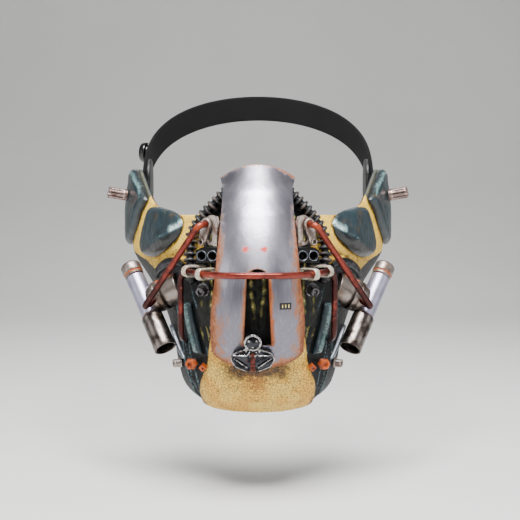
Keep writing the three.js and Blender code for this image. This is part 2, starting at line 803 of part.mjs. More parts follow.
// Long plate with a slot, stood off the core on a leg, with a lug under the plate's edge.
function plateBracket() {
  const radius = BRACKET_WIDTH / 2;
  const run = BRACKET_LENGTH - BRACKET_WIDTH;
  const outline = stadium(radius, run);
  outline.holes.push(stadium(radius * BRACKET_SLOT, run));
  const face = new THREE.ExtrudeGeometry(outline, {
    depth: BRACKET_THICKNESS, bevelEnabled: false, curveSegments: 6,
  }).translate(0, -run / 2, 0);
  const leg = new THREE.BoxGeometry(radius * BRACKET_LEG.width, run, BRACKET_LENGTH)
    .translate(-radius * BRACKET_LEG.aside, 0, (BRACKET_THICKNESS - BRACKET_LENGTH) / 2);
  const lug = new THREE.BoxGeometry(BRACKET_WIDTH, BRACKET_LENGTH, radius);
  const lugPlace = plateCorner(
    LUG_PLACE.across, LUG_PLACE.level, -BRACKET_LENGTH * LUG_PLACE.back);
  const fitting = [face, leg].map((piece) =>
    placed(piece, bracketCentre(), fittingTurn(BRACKET_TILT)));
  return cut(joined(...fitting, placed(lug, lugPlace)), coreSolid, faceSolid, plateSolid);
}

// Chain-like link: a large eye for the cheek rod and a small one below.
function linkPlate() {
  const big = LINK_EYE / 2;
  const small = LINK_SMALL_HOLE;
  const outline = new THREE.Shape();
  outline.absarc(0, 0, big, 0, Math.PI, false);
  outline.absarc(0, -LINK_LENGTH, small, Math.PI, 2 * Math.PI, false);
  outline.closePath();
  const eye = new THREE.Path();
  eye.absarc(0, 0, CHEEK_ROD_RADIUS + PIN_GAP, 0, 2 * Math.PI, true);
  const hole = new THREE.Path();
  hole.absarc(0, -LINK_LENGTH, LINK_SMALL_HOLE / 2, 0, 2 * Math.PI, true);
  outline.holes.push(eye, hole);
  return new THREE.ExtrudeGeometry(outline, {
    depth: LINK_THICKNESS, bevelEnabled: false, curveSegments: 6,
  });
}

const PORT_PLACE = { across: 0.35, level: 0.253, proud: 1.25 };
const PORT_DIRECTION = new THREE.Vector3(0.3, -1, 0);

// Shares of the block's half width and height: where the bevel of its upper corner
// starts, and the places of the sockets
const PORT_BEVEL = { along: 0.4, down: 0.6 };
const PORT_SOCKET = { aside: 0.48, down: 0.1 };

// Block with two round sockets, cut to the core behind it.
function portBlock() {
  const outline = new THREE.Shape();
  const [halfWidth, halfHeight] = [PORT_WIDTH / 2, PORT_HEIGHT / 2];
  outline.moveTo(-halfWidth, -halfHeight);
  outline.lineTo(halfWidth, -halfHeight);
  outline.lineTo(halfWidth, halfHeight * PORT_BEVEL.down);
  outline.lineTo(halfWidth * PORT_BEVEL.along, halfHeight);
  outline.lineTo(-halfWidth, halfHeight);
  outline.closePath();
  for (const side of [-1, 1]) {
    const bore = new THREE.Path();
    const [x, y] = [side * halfWidth * PORT_SOCKET.aside, -halfHeight * PORT_SOCKET.down];
    bore.absarc(x, y, PORT_BORE / 2, 0, 2 * Math.PI, true);
    outline.holes.push(bore);
  }
  const block = new THREE.ExtrudeGeometry(outline, {
    depth: PORT_DEPTH, bevelEnabled: false, curveSegments: 5,
  }).translate(0, 0, -PORT_DEPTH);
  const { across, level, proud } = PORT_PLACE;
  const front = frontPoint(across, level, proud * PORT_DEPTH);
  return cut(placed(block, front, facing(PORT_DIRECTION)), coreSolid, faceSolid, plateSolid);
}

// Canister axis: its open lower end stays in place, and its upper end lies towards the top
const CANISTER_FOOT = { across: 0.675, level: 0.665, back: 0.69 };
const CANISTER_TOP = { across: 0.98, level: 0.32, back: 0.44 };
const CANISTER_SPLIT = { cap: 0.15, tube: 0.62 };

function canisterEnd({ across, level, back }) {
  return new THREE.Vector3(
    across * FACE_HALF_WIDTH, -back * FACE_REACH, -level * FACE_HEIGHT);
}

function canisterFrame() {
  const foot = canisterEnd(CANISTER_FOOT);
  const axis = foot.clone().sub(canisterEnd(CANISTER_TOP)).normalize();
  return { top: foot.addScaledVector(axis, -CANISTER_LENGTH), turn: facing(axis), axis };
}

// Profile of the cap, as shares of its radius and length
const CAP_PROFILE = [
  { radius: 0, along: 0 },
  { radius: 0.86, along: 0 },
  { radius: 1, along: 0.14 },
  { radius: 1, along: 0.78 },
  { radius: 0.93, along: 0.84 },
  { radius: 0.93, along: 1 },
  { radius: 0, along: 1 },
];

function canisterCap() {
  const length = CANISTER_SPLIT.cap * CANISTER_LENGTH - PIN_GAP;
  return turned(scaled(CAP_PROFILE, CAP_RADIUS, length), SIDES.canister);
}

// Profile with its shares turned into a real radius and length.
function scaled(profile, radius, length) {
  return profile.map((row) => ({ radius: row.radius * radius, along: row.along * length }));
}

function canisterTube() {
  const start = CANISTER_SPLIT.cap * CANISTER_LENGTH;
  const end = CANISTER_SPLIT.tube * CANISTER_LENGTH - PIN_GAP;
  return turned([
    { radius: 0, along: start },
    { radius: CANISTER_RADIUS, along: start },
    { radius: CANISTER_RADIUS, along: end },
    { radius: 0, along: end },
  ], SIDES.canister);
}

function canisterCup() {
  const start = CANISTER_SPLIT.tube * CANISTER_LENGTH;
  const inner = CUP_RADIUS - CUP_WALL;
  const shoulder = start + CUP_RADIUS - CANISTER_RADIUS;
  const floor = shoulder + CUP_WALL;
  return turned([
    { radius: 0, along: start },
    { radius: CANISTER_RADIUS, along: start },
    { radius: CUP_RADIUS, along: shoulder },
    { radius: CUP_RADIUS, along: CANISTER_LENGTH },
    { radius: inner, along: CANISTER_LENGTH },
    { radius: inner, along: floor },
    { radius: 0, along: floor },
  ], SIDES.canister);
}

const BOSS_SEAT = { around: 0.43, level: 0.405 };
const BOSS_MEETS = 0.46;

function bossFrame() {
  const { top, axis } = canisterFrame();
  const meets = top.clone().addScaledVector(axis, BOSS_MEETS * CANISTER_LENGTH);
  const seat = facePoint(BOSS_SEAT.around, BOSS_SEAT.level, -SHELL_WALL);
  const direction = meets.clone().sub(seat);
  return { seat, length: direction.length(), turn: facing(direction) };
}

// Profile of the boss, as shares of its radius and of the way to the canister's axis:
// a plain foot, a groove and a wider rim
const BOSS_PROFILE = [
  { radius: 0, along: 0 },
  { radius: 1, along: 0 },
  { radius: 1, along: 0.4 },
  { radius: 0.94, along: 0.43 },
  { radius: 1.04, along: 0.46 },
  { radius: 1.04, along: 0.66 },
  { radius: 0.85, along: 0.83 },
  { radius: 0, along: 0.83 },
];

function bossRounds(extra) {
  const { seat, length, turn } = bossFrame();
  const rounds = turned(scaled(BOSS_PROFILE, BOSS_RADIUS + extra, length), SIDES.boss);
  return placed(rounds, seat, turn);
}

// Round boss from the jaw to the canister, saddled round its tube and clear of its cup.
function filterBoss() {
  const { top, turn } = canisterFrame();
  const cupStart = CANISTER_SPLIT.tube * CANISTER_LENGTH - CUT_GAP;
  const tube = cylinder(CANISTER_RADIUS + CUT_GAP, CANISTER_LENGTH * 2, SIDES.room);
  const cup = cylinder(CUP_RADIUS + CUT_GAP, CANISTER_LENGTH, SIDES.room)
    .translate(0, 0, cupStart + CANISTER_LENGTH / 2);
  const [tubeRoom, cupRoom] = [tube, cup].map((room) => toSolid(placed(room, top, turn)));
  return cut(bossRounds(0), tubeRoom, cupRoom, faceSolid);
}

// Corner of the cheek rod, ahead of the canister, and how far its end lies ahead of the boss
const ROD_CORNER = { share: 0.505, aside: 0.15, ahead: 2.7 };
const ROD_END = { share: 0.62, ahead: 0.6 };

// Rod from the link's eye over the cheek, with a hairpin into the boss.
function cheekRodPath() {
  const eye = linkEye(BRACKET_THICKNESS + PIN_GAP);
  const out = eye.clone().addScaledVector(FITTING_DIRECTION, CHEEK_ROD_RADIUS * 4);
  const { top, axis } = canisterFrame();
  const corner = top.clone().addScaledVector(axis, ROD_CORNER.share * CANISTER_LENGTH);
  corner.x += ROD_CORNER.aside * CANISTER_RADIUS;
  corner.y -= ROD_CORNER.ahead * CANISTER_RADIUS;
  const { seat, length, turn } = bossFrame();
  const end = new THREE.Vector3(0, 0, ROD_END.share * length).applyQuaternion(turn).add(seat);
  end.y -= ROD_END.ahead * BOSS_RADIUS;
  return bentWire([eye, out, corner, end], CHEEK_ROD_BEND);
}

function cheekRod() {
  const wire = rod(cheekRodPath(), CHEEK_ROD_RADIUS, CHEEK_ROD_MESH);
  return cut(wire, toSolid(bossRounds(CUT_GAP)));
}

const ARCH_PLACES = [
  { around: 0.335, level: 0.31 },
  { around: 0.36, level: 0.297 },
  { around: 0.42, level: 0.295 },
  { around: 0.48, level: 0.31 },
  { around: 0.54, level: 0.34 },
  { around: 0.57, level: 0.368 },
];

// Round lip over the boss, along the face.
function cheekArch() {
  const path = smoothCurve(ARCH_PLACES.map(({ around, level }) =>
    facePoint(around, level, ARCH_RADIUS + SEAT_GAP)));
  return cut(rod(path, ARCH_RADIUS, ARCH_MESH), faceSolid);
}

function bracketCentre() {
  const { across, level, proud } = BRACKET_PLACE;
  return frontPoint(across, level, proud * GUARD_STANDOFF);
}

const EYE_PLACE = { across: 0.28, along: 0.22 };

// Middle of the link's large eye, at a height above the bracket's back.
function linkEye(height) {
  const { across, along } = EYE_PLACE;
  const aside = new THREE.Vector3(BRACKET_WIDTH * across, BRACKET_LENGTH * along, height);
  return aside.applyQuaternion(fittingTurn(BRACKET_TILT)).add(bracketCentre());
}

// The stud's flutes, bore and flange as shares of its radius, and its foot as one of its length
const STUD_SHARES = { flute: 0.88, bore: 0.4, foot: 0.2, flange: 1.04 };

// Fluted barrel with a bore, on a round foot.
function earStud() {
  const outline = new THREE.Shape();
  const corners = STUD_FLUTES * 2;
  const foot = STUD_LENGTH * STUD_SHARES.foot;
  for (let at = 0; at <= corners; at += 1) {
    const angle = (at / corners) * 2 * Math.PI;
    const radius = at % 2 === 0 ? STUD_RADIUS : STUD_RADIUS * STUD_SHARES.flute;
    const [x, y] = [radius * Math.cos(angle), radius * Math.sin(angle)];
    if (at === 0) outline.moveTo(x, y);
    else outline.lineTo(x, y);
  }
  const bore = new THREE.Path();
  bore.absarc(0, 0, STUD_RADIUS * STUD_SHARES.bore, 0, 2 * Math.PI, true);
  outline.holes.push(bore);
  const barrel = new THREE.ExtrudeGeometry(outline, {
    depth: STUD_LENGTH - foot, bevelEnabled: false, curveSegments: 5,
  }).translate(0, 0, foot);
  const flange = cylinder(STUD_RADIUS * STUD_SHARES.flange, foot, SIDES.flange)
    .translate(0, 0, foot / 2);
  return joined(flange, barrel);
}

const STUD_PLACE = { around: 0.87, level: 0.008 };

function studSeat() {
  const { around, level } = STUD_PLACE;
  return facePoint(around, level, SEAT_GAP + LOBE_THICKNESS + PIN_GAP);
}

function studTurn() {
  return facing(faceNormal(STUD_PLACE.around, STUD_PLACE.level));
}

const BOLT_PLACE = { around: 0.385, level: 0.73 };

function jawBolt() {
  const { around, level } = BOLT_PLACE;
  const seat = facePoint(around, level, SEAT_GAP);
  const head = cylinder(BOLT_RADIUS, BOLT_LENGTH, SIDES.bolt).translate(0, 0, BOLT_LENGTH / 2);
  return placed(head, seat, facing(faceNormal(around, level)));
}

const PLUG_ROWS = [
  { name: "plug_outer", around: 0.281, level: 0.718, size: 1, out: [0.3, -0.95, 0.05], sides: 6 },
  { name: "plug_inner", around: 0.222, level: 0.718, size: 0.7, out: [0.1, -1, -0.1], sides: 4 },
];

// Short block on the jaw, cut to the chin and the face behind it.
function plugBlock({ around, level, size, out, sides }) {
  const base = facePoint(around, level);
  const block = cylinder(PLUG_RADIUS * size, PLUG_LENGTH * 2, sides);
  return cut(placed(block, base, facing(new THREE.Vector3(...out))), faceSolid, chinSolid);
}

// Right half of the casting's fan, as shares of its half width
const CASTING_CORNERS = [
  { across: 0.3, up: 0.42 },
  { across: 0.86, up: 0.2 },
  { across: 1, up: -0.12 },
  { across: 0.8, up: -0.5 },
  { across: 0.3, up: -0.72 },
];

// Shares of the casting's half width and thickness
const CASTING_BODY = { depth: 1.4, sunk: 0.6, bevel: 0.3 };
const CASTING_CAP = { radius: 0.42, up: 0.72, proud: 0.5 };
const CASTING_STEM = { radius: 0.3, up: 0.6, length: 2.4 };
const CASTING_RIB = { length: 0.95, width: 0.3, depth: 0.5, across: 0.46, up: -0.16, proud: 1.05 };
const CASTING_RIB_TURN = 0.75;

// Fan-shaped cast body with a round cap and two raised ribs.
function valveCasting() {
  const left = CASTING_CORNERS.map(({ across, up }) => ({ across: -across, up })).reverse();
  const outline = new THREE.Shape([...CASTING_CORNERS, ...left].map(({ across, up }) =>
    new THREE.Vector2(across * CASTING_HALF_WIDTH, up * CASTING_HALF_WIDTH)));
  const bevel = CASTING_THICKNESS * CASTING_BODY.bevel;
  const body = new THREE.ExtrudeGeometry(outline, {
    depth: CASTING_THICKNESS * CASTING_BODY.depth,
    bevelSize: bevel, bevelThickness: bevel, bevelSegments: 1, bevelOffset: -bevel,
  }).translate(0, 0, -CASTING_THICKNESS * CASTING_BODY.sunk);
  const cap = new THREE.SphereGeometry(CASTING_HALF_WIDTH * CASTING_CAP.radius, 12, 8)
    .translate(0, CASTING_HALF_WIDTH * CASTING_CAP.up, CASTING_THICKNESS * CASTING_CAP.proud);
  const stem = cylinder(
    CASTING_HALF_WIDTH * CASTING_STEM.radius, CASTING_THICKNESS * CASTING_STEM.length,
    SIDES.stem)
    .translate(0, CASTING_HALF_WIDTH * CASTING_STEM.up, 0);
  return joined(body, cap, stem, castingRib(-1), castingRib(1));
}

function castingRib(side) {
  const { length, width, depth, across, up, proud } = CASTING_RIB;
  return new THREE.BoxGeometry(
    length * CASTING_HALF_WIDTH, width * CASTING_THICKNESS, depth * CASTING_THICKNESS)
    .rotateZ(side * CASTING_RIB_TURN)
    .translate(
      side * across * CASTING_HALF_WIDTH, up * CASTING_HALF_WIDTH, proud * CASTING_THICKNESS);
}

const CASTING_PLACE = { across: -0.1, level: 0.645 };
const CASTING_DIRECTION = new THREE.Vector3(0, -1, -0.3);

function castingOnPlate() {
  const seat = plateCorner(CASTING_PLACE.across, CASTING_PLACE.level, PLATE_WALL + CUT_GAP);
  const casting = placed(valveCasting(), seat, facing(CASTING_DIRECTION));
  return cut(casting, plateSolid, chinSolid, faceSolid);
}

// Tab inside the shell, flat beside the ear; the strap lies on its outer side
const TAB_PLACE = { across: 0.895, level: -0.065 };

function tabPlace() {
  return new THREE.Vector3(
    TAB_PLACE.across * FACE_HALF_WIDTH, REAR_RIM, -TAB_PLACE.level * FACE_HEIGHT);
}

function tabTurn() {
  return facing(new THREE.Vector3(1, 0, 0));
}

function strapTab() {
  const outline = stadium(TAB_WIDTH / 2, TAB_LENGTH - TAB_WIDTH);
  return new THREE.ExtrudeGeometry(outline, {
    depth: TAB_THICKNESS, bevelEnabled: false, curveSegments: 6,
  }).translate(0, (TAB_WIDTH - TAB_LENGTH) / 2, 0);
}

// How fast the strap rises behind the ears, and how much its width follows the head's top
const STRAP_RISE_POWER = 0.75;
const STRAP_LEAN = 0.35;

// The strap runs from ear to ear round the back of the head, and rises behind the ears.
function strapMiddle(share) {
  const angle = (share - 0.5) * Math.PI;
  const start = tabPlace();
  const side = start.x + TAB_THICKNESS + 2 * SEAT_GAP + STRAP_THICKNESS / 2;
  const back = HEAD_BACK - start.y;
  return new THREE.Vector3(
    side * Math.sin(angle),
    start.y + STRAP_THICKNESS * 2 + back * Math.cos(angle),
    start.z + STRAP_RISE * Math.cos(angle) ** STRAP_RISE_POWER);
}

// Place, direction and outward side of the strap at a share of its length.
function strapFrame(share) {
  const step = 0.003;
  const held = THREE.MathUtils.clamp(share, step * 1.5, 1 - step * 1.5);
  const middle = strapMiddle(held);
  const along = strapMiddle(held + step).sub(strapMiddle(held - step)).normalize();
  const out = new THREE.Vector3(middle.x, middle.y - REAR_RIM, middle.z * STRAP_LEAN);
  out.addScaledVector(along, -out.dot(along)).normalize();
  return { middle, along, out };
}

function headStrap() {
  return reshaped(new THREE.BoxGeometry(1, 1, 1, ...SHEET_CELLS.strap, 1), (corner) => {
    const { middle, along, out } = strapFrame(corner.x + 0.5);
    return middle.addScaledVector(out.clone().cross(along), corner.y * STRAP_WIDTH)
      .addScaledVector(out, corner.z * STRAP_THICKNESS);
  });
}

const KNOB_SHARE = 0.085;

// Profile of the knob, as shares of its radius and length
const KNOB_PROFILE = [
  { radius: 0, along: 0 },
  { radius: 0.8, along: 0 },
  { radius: 1, along: 0.4 },
  { radius: 0.85, along: 0.85 },
  { radius: 0, along: 1 },
];

function knobPlace() {
  const { middle, out } = strapFrame(KNOB_SHARE);
  return middle.addScaledVector(out, STRAP_THICKNESS / 2 + PIN_GAP);
}

function strapKnob() {
  return turned(scaled(KNOB_PROFILE, KNOB_RADIUS, KNOB_LENGTH), SIDES.knob);
}

const faceSolid = faceCutter();
const coreSolid = coreCutter();
const plateSolid = plateCutter();
const chinSolid = chinCutter();

add("face_shell", faceShell(), finish(COLOURS.cream, 0.75, 0));
add("jaw_core", jawCore(), finish(COLOURS.core, 0.6, 0.1));
add("chin_cup", chinCup(), finish(COLOURS.chinCream, 0.8, 0));
add("centre_plate", centrePlate(), finish(COLOURS.steel, 0.38, 1));
addPair("ear_lobe", faceCover(LOBE_OUTLINE, LOBE_MIDDLE, LOBE_THICKNESS, LOBE_SHAPE),
  finish(COLOURS.slate, 0.6, 0));
addPair("cheek_pad", faceCover(PAD_OUTLINE, PAD_MIDDLE, PAD_THICKNESS, PAD_SHAPE),
  finish(COLOURS.slate, 0.6, 0));
addPair("jaw_band", faceRibbon(BAND_ROWS, BAND_THICKNESS, 8), finish(COLOURS.slate, 0.6, 0));
addPair("jaw_strip", faceRibbon(STRIP_ROWS, STRIP_THICKNESS, 6), finish(COLOURS.silver, 0.4, 1));
addPair("hose", hose(), finish(COLOURS.rubber, 0.7, 0));

// Guard rod and what holds it
add("guard_rod", cut(rod(guardPath(), GUARD_RADIUS, GUARD_MESH), faceSolid),
  finish(COLOURS.copper, 0.4, 0.8));
for (const clamp of CLAMP_ROWS) {
  const { middle, turn } = clampFrame(clamp);
  const strap = placed(clampStrap(clamp.run * CLAMP_RUN), middle, turn);
  addPair(clamp.name, cut(strap, faceSolid, coreSolid), finish(COLOURS.aged, 0.55, 0.7));
}
addPair("clamp_nut", clampNut(), finish(COLOURS.silver, 0.5, 0.9));

// Fittings beside the plate, and the rods over the cheeks
addPair("plate_bracket", plateBracket(), finish(COLOURS.silver, 0.4, 1));
addPair("link", linkPlate(), finish(COLOURS.silver, 0.4, 1),
  linkEye(BRACKET_THICKNESS + PIN_GAP), fittingTurn(LINK_TILT));
addPair("port_block", portBlock(), finish(COLOURS.black, 0.5, 0.2));
addPair("cheek_rod", cheekRod(), finish(COLOURS.copper, 0.4, 0.8));

// Filter boss and canister
const { top: canisterStart, turn: canisterTurn } = canisterFrame();
addPair("filter_boss", filterBoss(), finish(COLOURS.canister, 0.45, 1));
addPair("canister_cap", canisterCap(), finish(COLOURS.rust, 0.5, 0.9), canisterStart, canisterTurn);
addPair("canister_tube", canisterTube(), finish(COLOURS.canister, 0.35, 1),
  canisterStart, canisterTurn);
addPair("canister_cup", canisterCup(), finish(COLOURS.cup, 0.4, 1), canisterStart, canisterTurn);
addPair("cheek_arch", cheekArch(), finish(COLOURS.darkSlate, 0.6, 0));

// Small fittings
addPair("ear_stud", earStud(), finish(COLOURS.silver, 0.4, 1), studSeat(), studTurn());
addPair("jaw_bolt", jawBolt(), finish(COLOURS.silver, 0.4, 1));
for (const plug of PLUG_ROWS) addPair(plug.name, plugBlock(plug), finish(COLOURS.orange, 0.6, 0));
add("valve_casting", castingOnPlate(), finish(COLOURS.gunmetal, 0.4, 1));

// Head strap with its tabs and snap knob
add("head_strap", headStrap(), finish(COLOURS.black, 0.8, 0));
addPair("strap_tab", strapTab(), finish(COLOURS.black, 0.6, 0), tabPlace(), tabTurn());
add("strap_knob", strapKnob(), finish(COLOURS.black, 0.35, 0),
  knobPlace(), facing(strapFrame(KNOB_SHARE).out));

export default mask;
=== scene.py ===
"""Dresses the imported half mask: painted shell, pebbled chin, worn steel plate, rods, hoses and canisters.

Numbers for shape are millimetres in the part's own frame: +X to the viewer's right, the front
faces -Y, +Z up, and the origin is the centre of the head. Meshes are written in metres.
"""

import logging
import math
from collections.abc import Callable, Sequence
from dataclasses import dataclass, field
from enum import Enum

import bpy
import numpy as np
from mathutils import Matrix, Vector


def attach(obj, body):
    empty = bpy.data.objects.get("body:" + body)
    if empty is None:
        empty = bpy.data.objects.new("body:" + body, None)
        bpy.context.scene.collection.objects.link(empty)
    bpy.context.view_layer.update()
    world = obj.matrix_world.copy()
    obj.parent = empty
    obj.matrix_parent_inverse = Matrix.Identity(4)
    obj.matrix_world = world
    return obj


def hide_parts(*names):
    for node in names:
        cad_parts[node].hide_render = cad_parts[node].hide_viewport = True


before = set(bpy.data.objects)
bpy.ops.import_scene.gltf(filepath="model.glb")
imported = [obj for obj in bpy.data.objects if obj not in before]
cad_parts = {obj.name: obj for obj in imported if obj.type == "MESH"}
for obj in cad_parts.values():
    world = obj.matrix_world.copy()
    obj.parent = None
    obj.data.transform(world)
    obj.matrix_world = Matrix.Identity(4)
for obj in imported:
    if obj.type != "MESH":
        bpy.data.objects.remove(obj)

LOG = logging.getLogger("half_mask")
MM = 0.001
ROOT = "root"
Array = np.ndarray
MIRROR = np.array([-1.0, 1.0, 1.0])


# Numbers and curves


def hermite(rows: Array, column: int, place: Array) -> Array:
    """Reads one column of a table, eased between its rows.

    Args:
        rows: Table whose first column is the key, in rising order.
        column: Column to read.
        place: Keys to read it at.

    Returns:
        The value at each key, held at the ends of the table.
    """
    keys, values = rows[:, 0], rows[:, column]
    held = np.clip(np.asarray(place, float), keys[0], keys[-1])
    low = np.clip(np.searchsorted(keys, held, side="left") - 1, 0, len(keys) - 2)
    last = len(keys) - 1
    before = np.maximum(np.arange(len(keys)) - 1, 0)
    after = np.minimum(np.arange(len(keys)) + 1, last)
    slope = (values[after] - values[before]) / (keys[after] - keys[before])
    span = keys[low + 1] - keys[low]
    t = (held - keys[low]) / span
    return (
        values[low] * (2 * t**3 - 3 * t**2 + 1)
        + slope[low] * span * (t**3 - 2 * t**2 + t)
        + values[low + 1] * (3 * t**2 - 2 * t**3)
        + slope[low + 1] * span * (t**3 - t**2)
    )


def smoothstep(value: Array, low: float, high: float) -> Array:
    """Returns 0 below low, 1 above high, and an eased step between."""
    t = np.clip((np.asarray(value, float) - low) / (high - low), 0.0, 1.0)
    return t * t * (3 - 2 * t)


def unit(vector: Array) -> Array:
    """Returns the vector, or each row of vectors, at length 1."""
    vector = np.asarray(vector, float)
    return vector / np.linalg.norm(vector, axis=-1, keepdims=True)


def smooth_curve(points: Sequence[Sequence[float]], closed: bool, steps: int) -> Array:
    """Samples a centripetal curve through points.

    Args:
        points: Places that the curve goes through.
        closed: Whether it returns to its start.
        steps: Samples on each span between two points.

    Returns:
        The samples, evenly spaced along the curve; a closed one repeats its start at the end.
    """
    places = np.asarray(points, float)
    count = len(places)
    spans = count if closed else count - 1
    samples = []
    for span in range(spans):
        if closed:
            p0, p1, p2, p3 = (places[(span + k) % count] for k in (-1, 0, 1, 2))
        else:
            p1, p2 = places[span], places[span + 1]
            p0 = places[span - 1] if span > 0 else 2 * p1 - p2
            p3 = places[span + 2] if span + 2 < count else 2 * p2 - p1
        d0, d1, d2 = (math.sqrt(max(np.linalg.norm(b - a), 1e-9)) for a, b in ((p0, p1), (p1, p2), (p2, p3)))
        t1 = ((p1 - p0) / d0 - (p2 - p0) / (d0 + d1) + (p2 - p1) / d1) * d1
        t2 = ((p2 - p1) / d1 - (p3 - p1) / (d1 + d2) + (p3 - p2) / d2) * d1
        t = np.linspace(0, 1, steps, endpoint=False)[:, None]
        samples.append(
            p1 + t1 * t + (-3 * p1 + 3 * p2 - 2 * t1 - t2) * t**2 + (2 * p1 - 2 * p2 + t1 + t2) * t**3
        )
    samples.append(places[:1] if closed else places[-1:])
    return evenly(np.vstack(samples), spans * steps + 1)


def evenly(path: Array, count: int) -> Array:
    """Returns the path again with points evenly spaced along it.

    Args:
        path: Points of the path.
        count: Number of points wanted.

    Returns:
        The new points.
    """
    length = np.concatenate([[0], np.cumsum(np.linalg.norm(np.diff(path, axis=0), axis=1))])
    wanted = np.linspace(0, length[-1], count)
    return np.stack([np.interp(wanted, length, path[:, k]) for k in range(path.shape[1])], axis=1)


def bent_wire(points: Sequence[Array], bend: float, spacing: float = 0.8) -> Array:
    """Joins straight runs by round bends, like a bent wire.

    Args:
        points: Ends and corners of the wire.
        bend: How far before each corner its bend starts.
        spacing: Distance between samples.

    Returns:
        Points along the wire.
    """
    path = [np.asarray(points[0], float)]
    for at in range(1, len(points) - 1):
        corner = np.asarray(points[at], float)
        before, after = corner - points[at - 1], points[at + 1] - corner
        reach = min(bend, np.linalg.norm(before) * 0.45, np.linalg.norm(after) * 0.45)
        start, end = corner - unit(before) * reach, corner + unit(after) * reach
        t = np.linspace(0, 1, 12)[:, None]
        path.extend((1 - t) ** 2 * start + 2 * t * (1 - t) * corner + t**2 * end)
    path.append(np.asarray(points[-1], float))
    path = np.array(path)
    length = np.linalg.norm(np.diff(path, axis=0), axis=1).sum()
    return evenly(path, max(int(length / spacing), 4))


def facing(direction: Sequence[float]) -> Array:
    """Returns a frame, as columns, whose third axis is the direction and whose first is level.

    Args:
        direction: Direction of the third axis.

    Returns:
        The frame.
    """
    z = unit(direction)
    x = unit(np.cross([0, 0, 1], z))
    return np.stack([x, np.cross(z, x), z], axis=1)


def turned_about_z(angle: float) -> Array:
    """Returns the frame of a turn about +Z."""
    c, s = math.cos(angle), math.sin(angle)
    return np.array([[c, -s, 0], [s, c, 0], [0, 0, 1]])


# The face form that the moulded pieces follow


FACE_ROWS = np.array(
    [
        # level, width, reach, power, flare
        [-0.2, 0.97, 0.7, 1.4, 0.5],
        [0.0, 1.0, 0.83, 1.42, 0.85],
        [0.1, 1.0, 0.91, 1.45, 1.0],
        [0.27, 0.98, 0.99, 1.5, 1.0],
        [0.42, 0.92, 1.0, 1.6, 0.4],
        [0.6, 0.86, 0.97, 1.8, 0.0],
        [0.74, 0.8, 0.93, 2.1, 0.0],
        [0.83, 0.75, 0.87, 2.3, 0.0],
        [0.925, 0.66, 0.71, 2.3, 0.0],
    ]
)
RIM_ROWS = np.array(
    [
        # around, top, bottom
        [0.0, -0.03, 0.92],
        [0.12, -0.01, 0.92],
        [0.2, 0.06, 0.915],
        [0.28, 0.085, 0.895],
        [0.34, 0.09, 0.86],
        [0.39, 0.09, 0.79],
        [0.46, 0.085, 0.64],
        [0.56, 0.065, 0.51],
        [0.64, 0.035, 0.45],
        [0.7, -0.01, 0.41],
        [0.8, -0.085, 0.335],
        [0.88, -0.125, 0.285],
        [1.0, -0.11, 0.24],
    ]
)


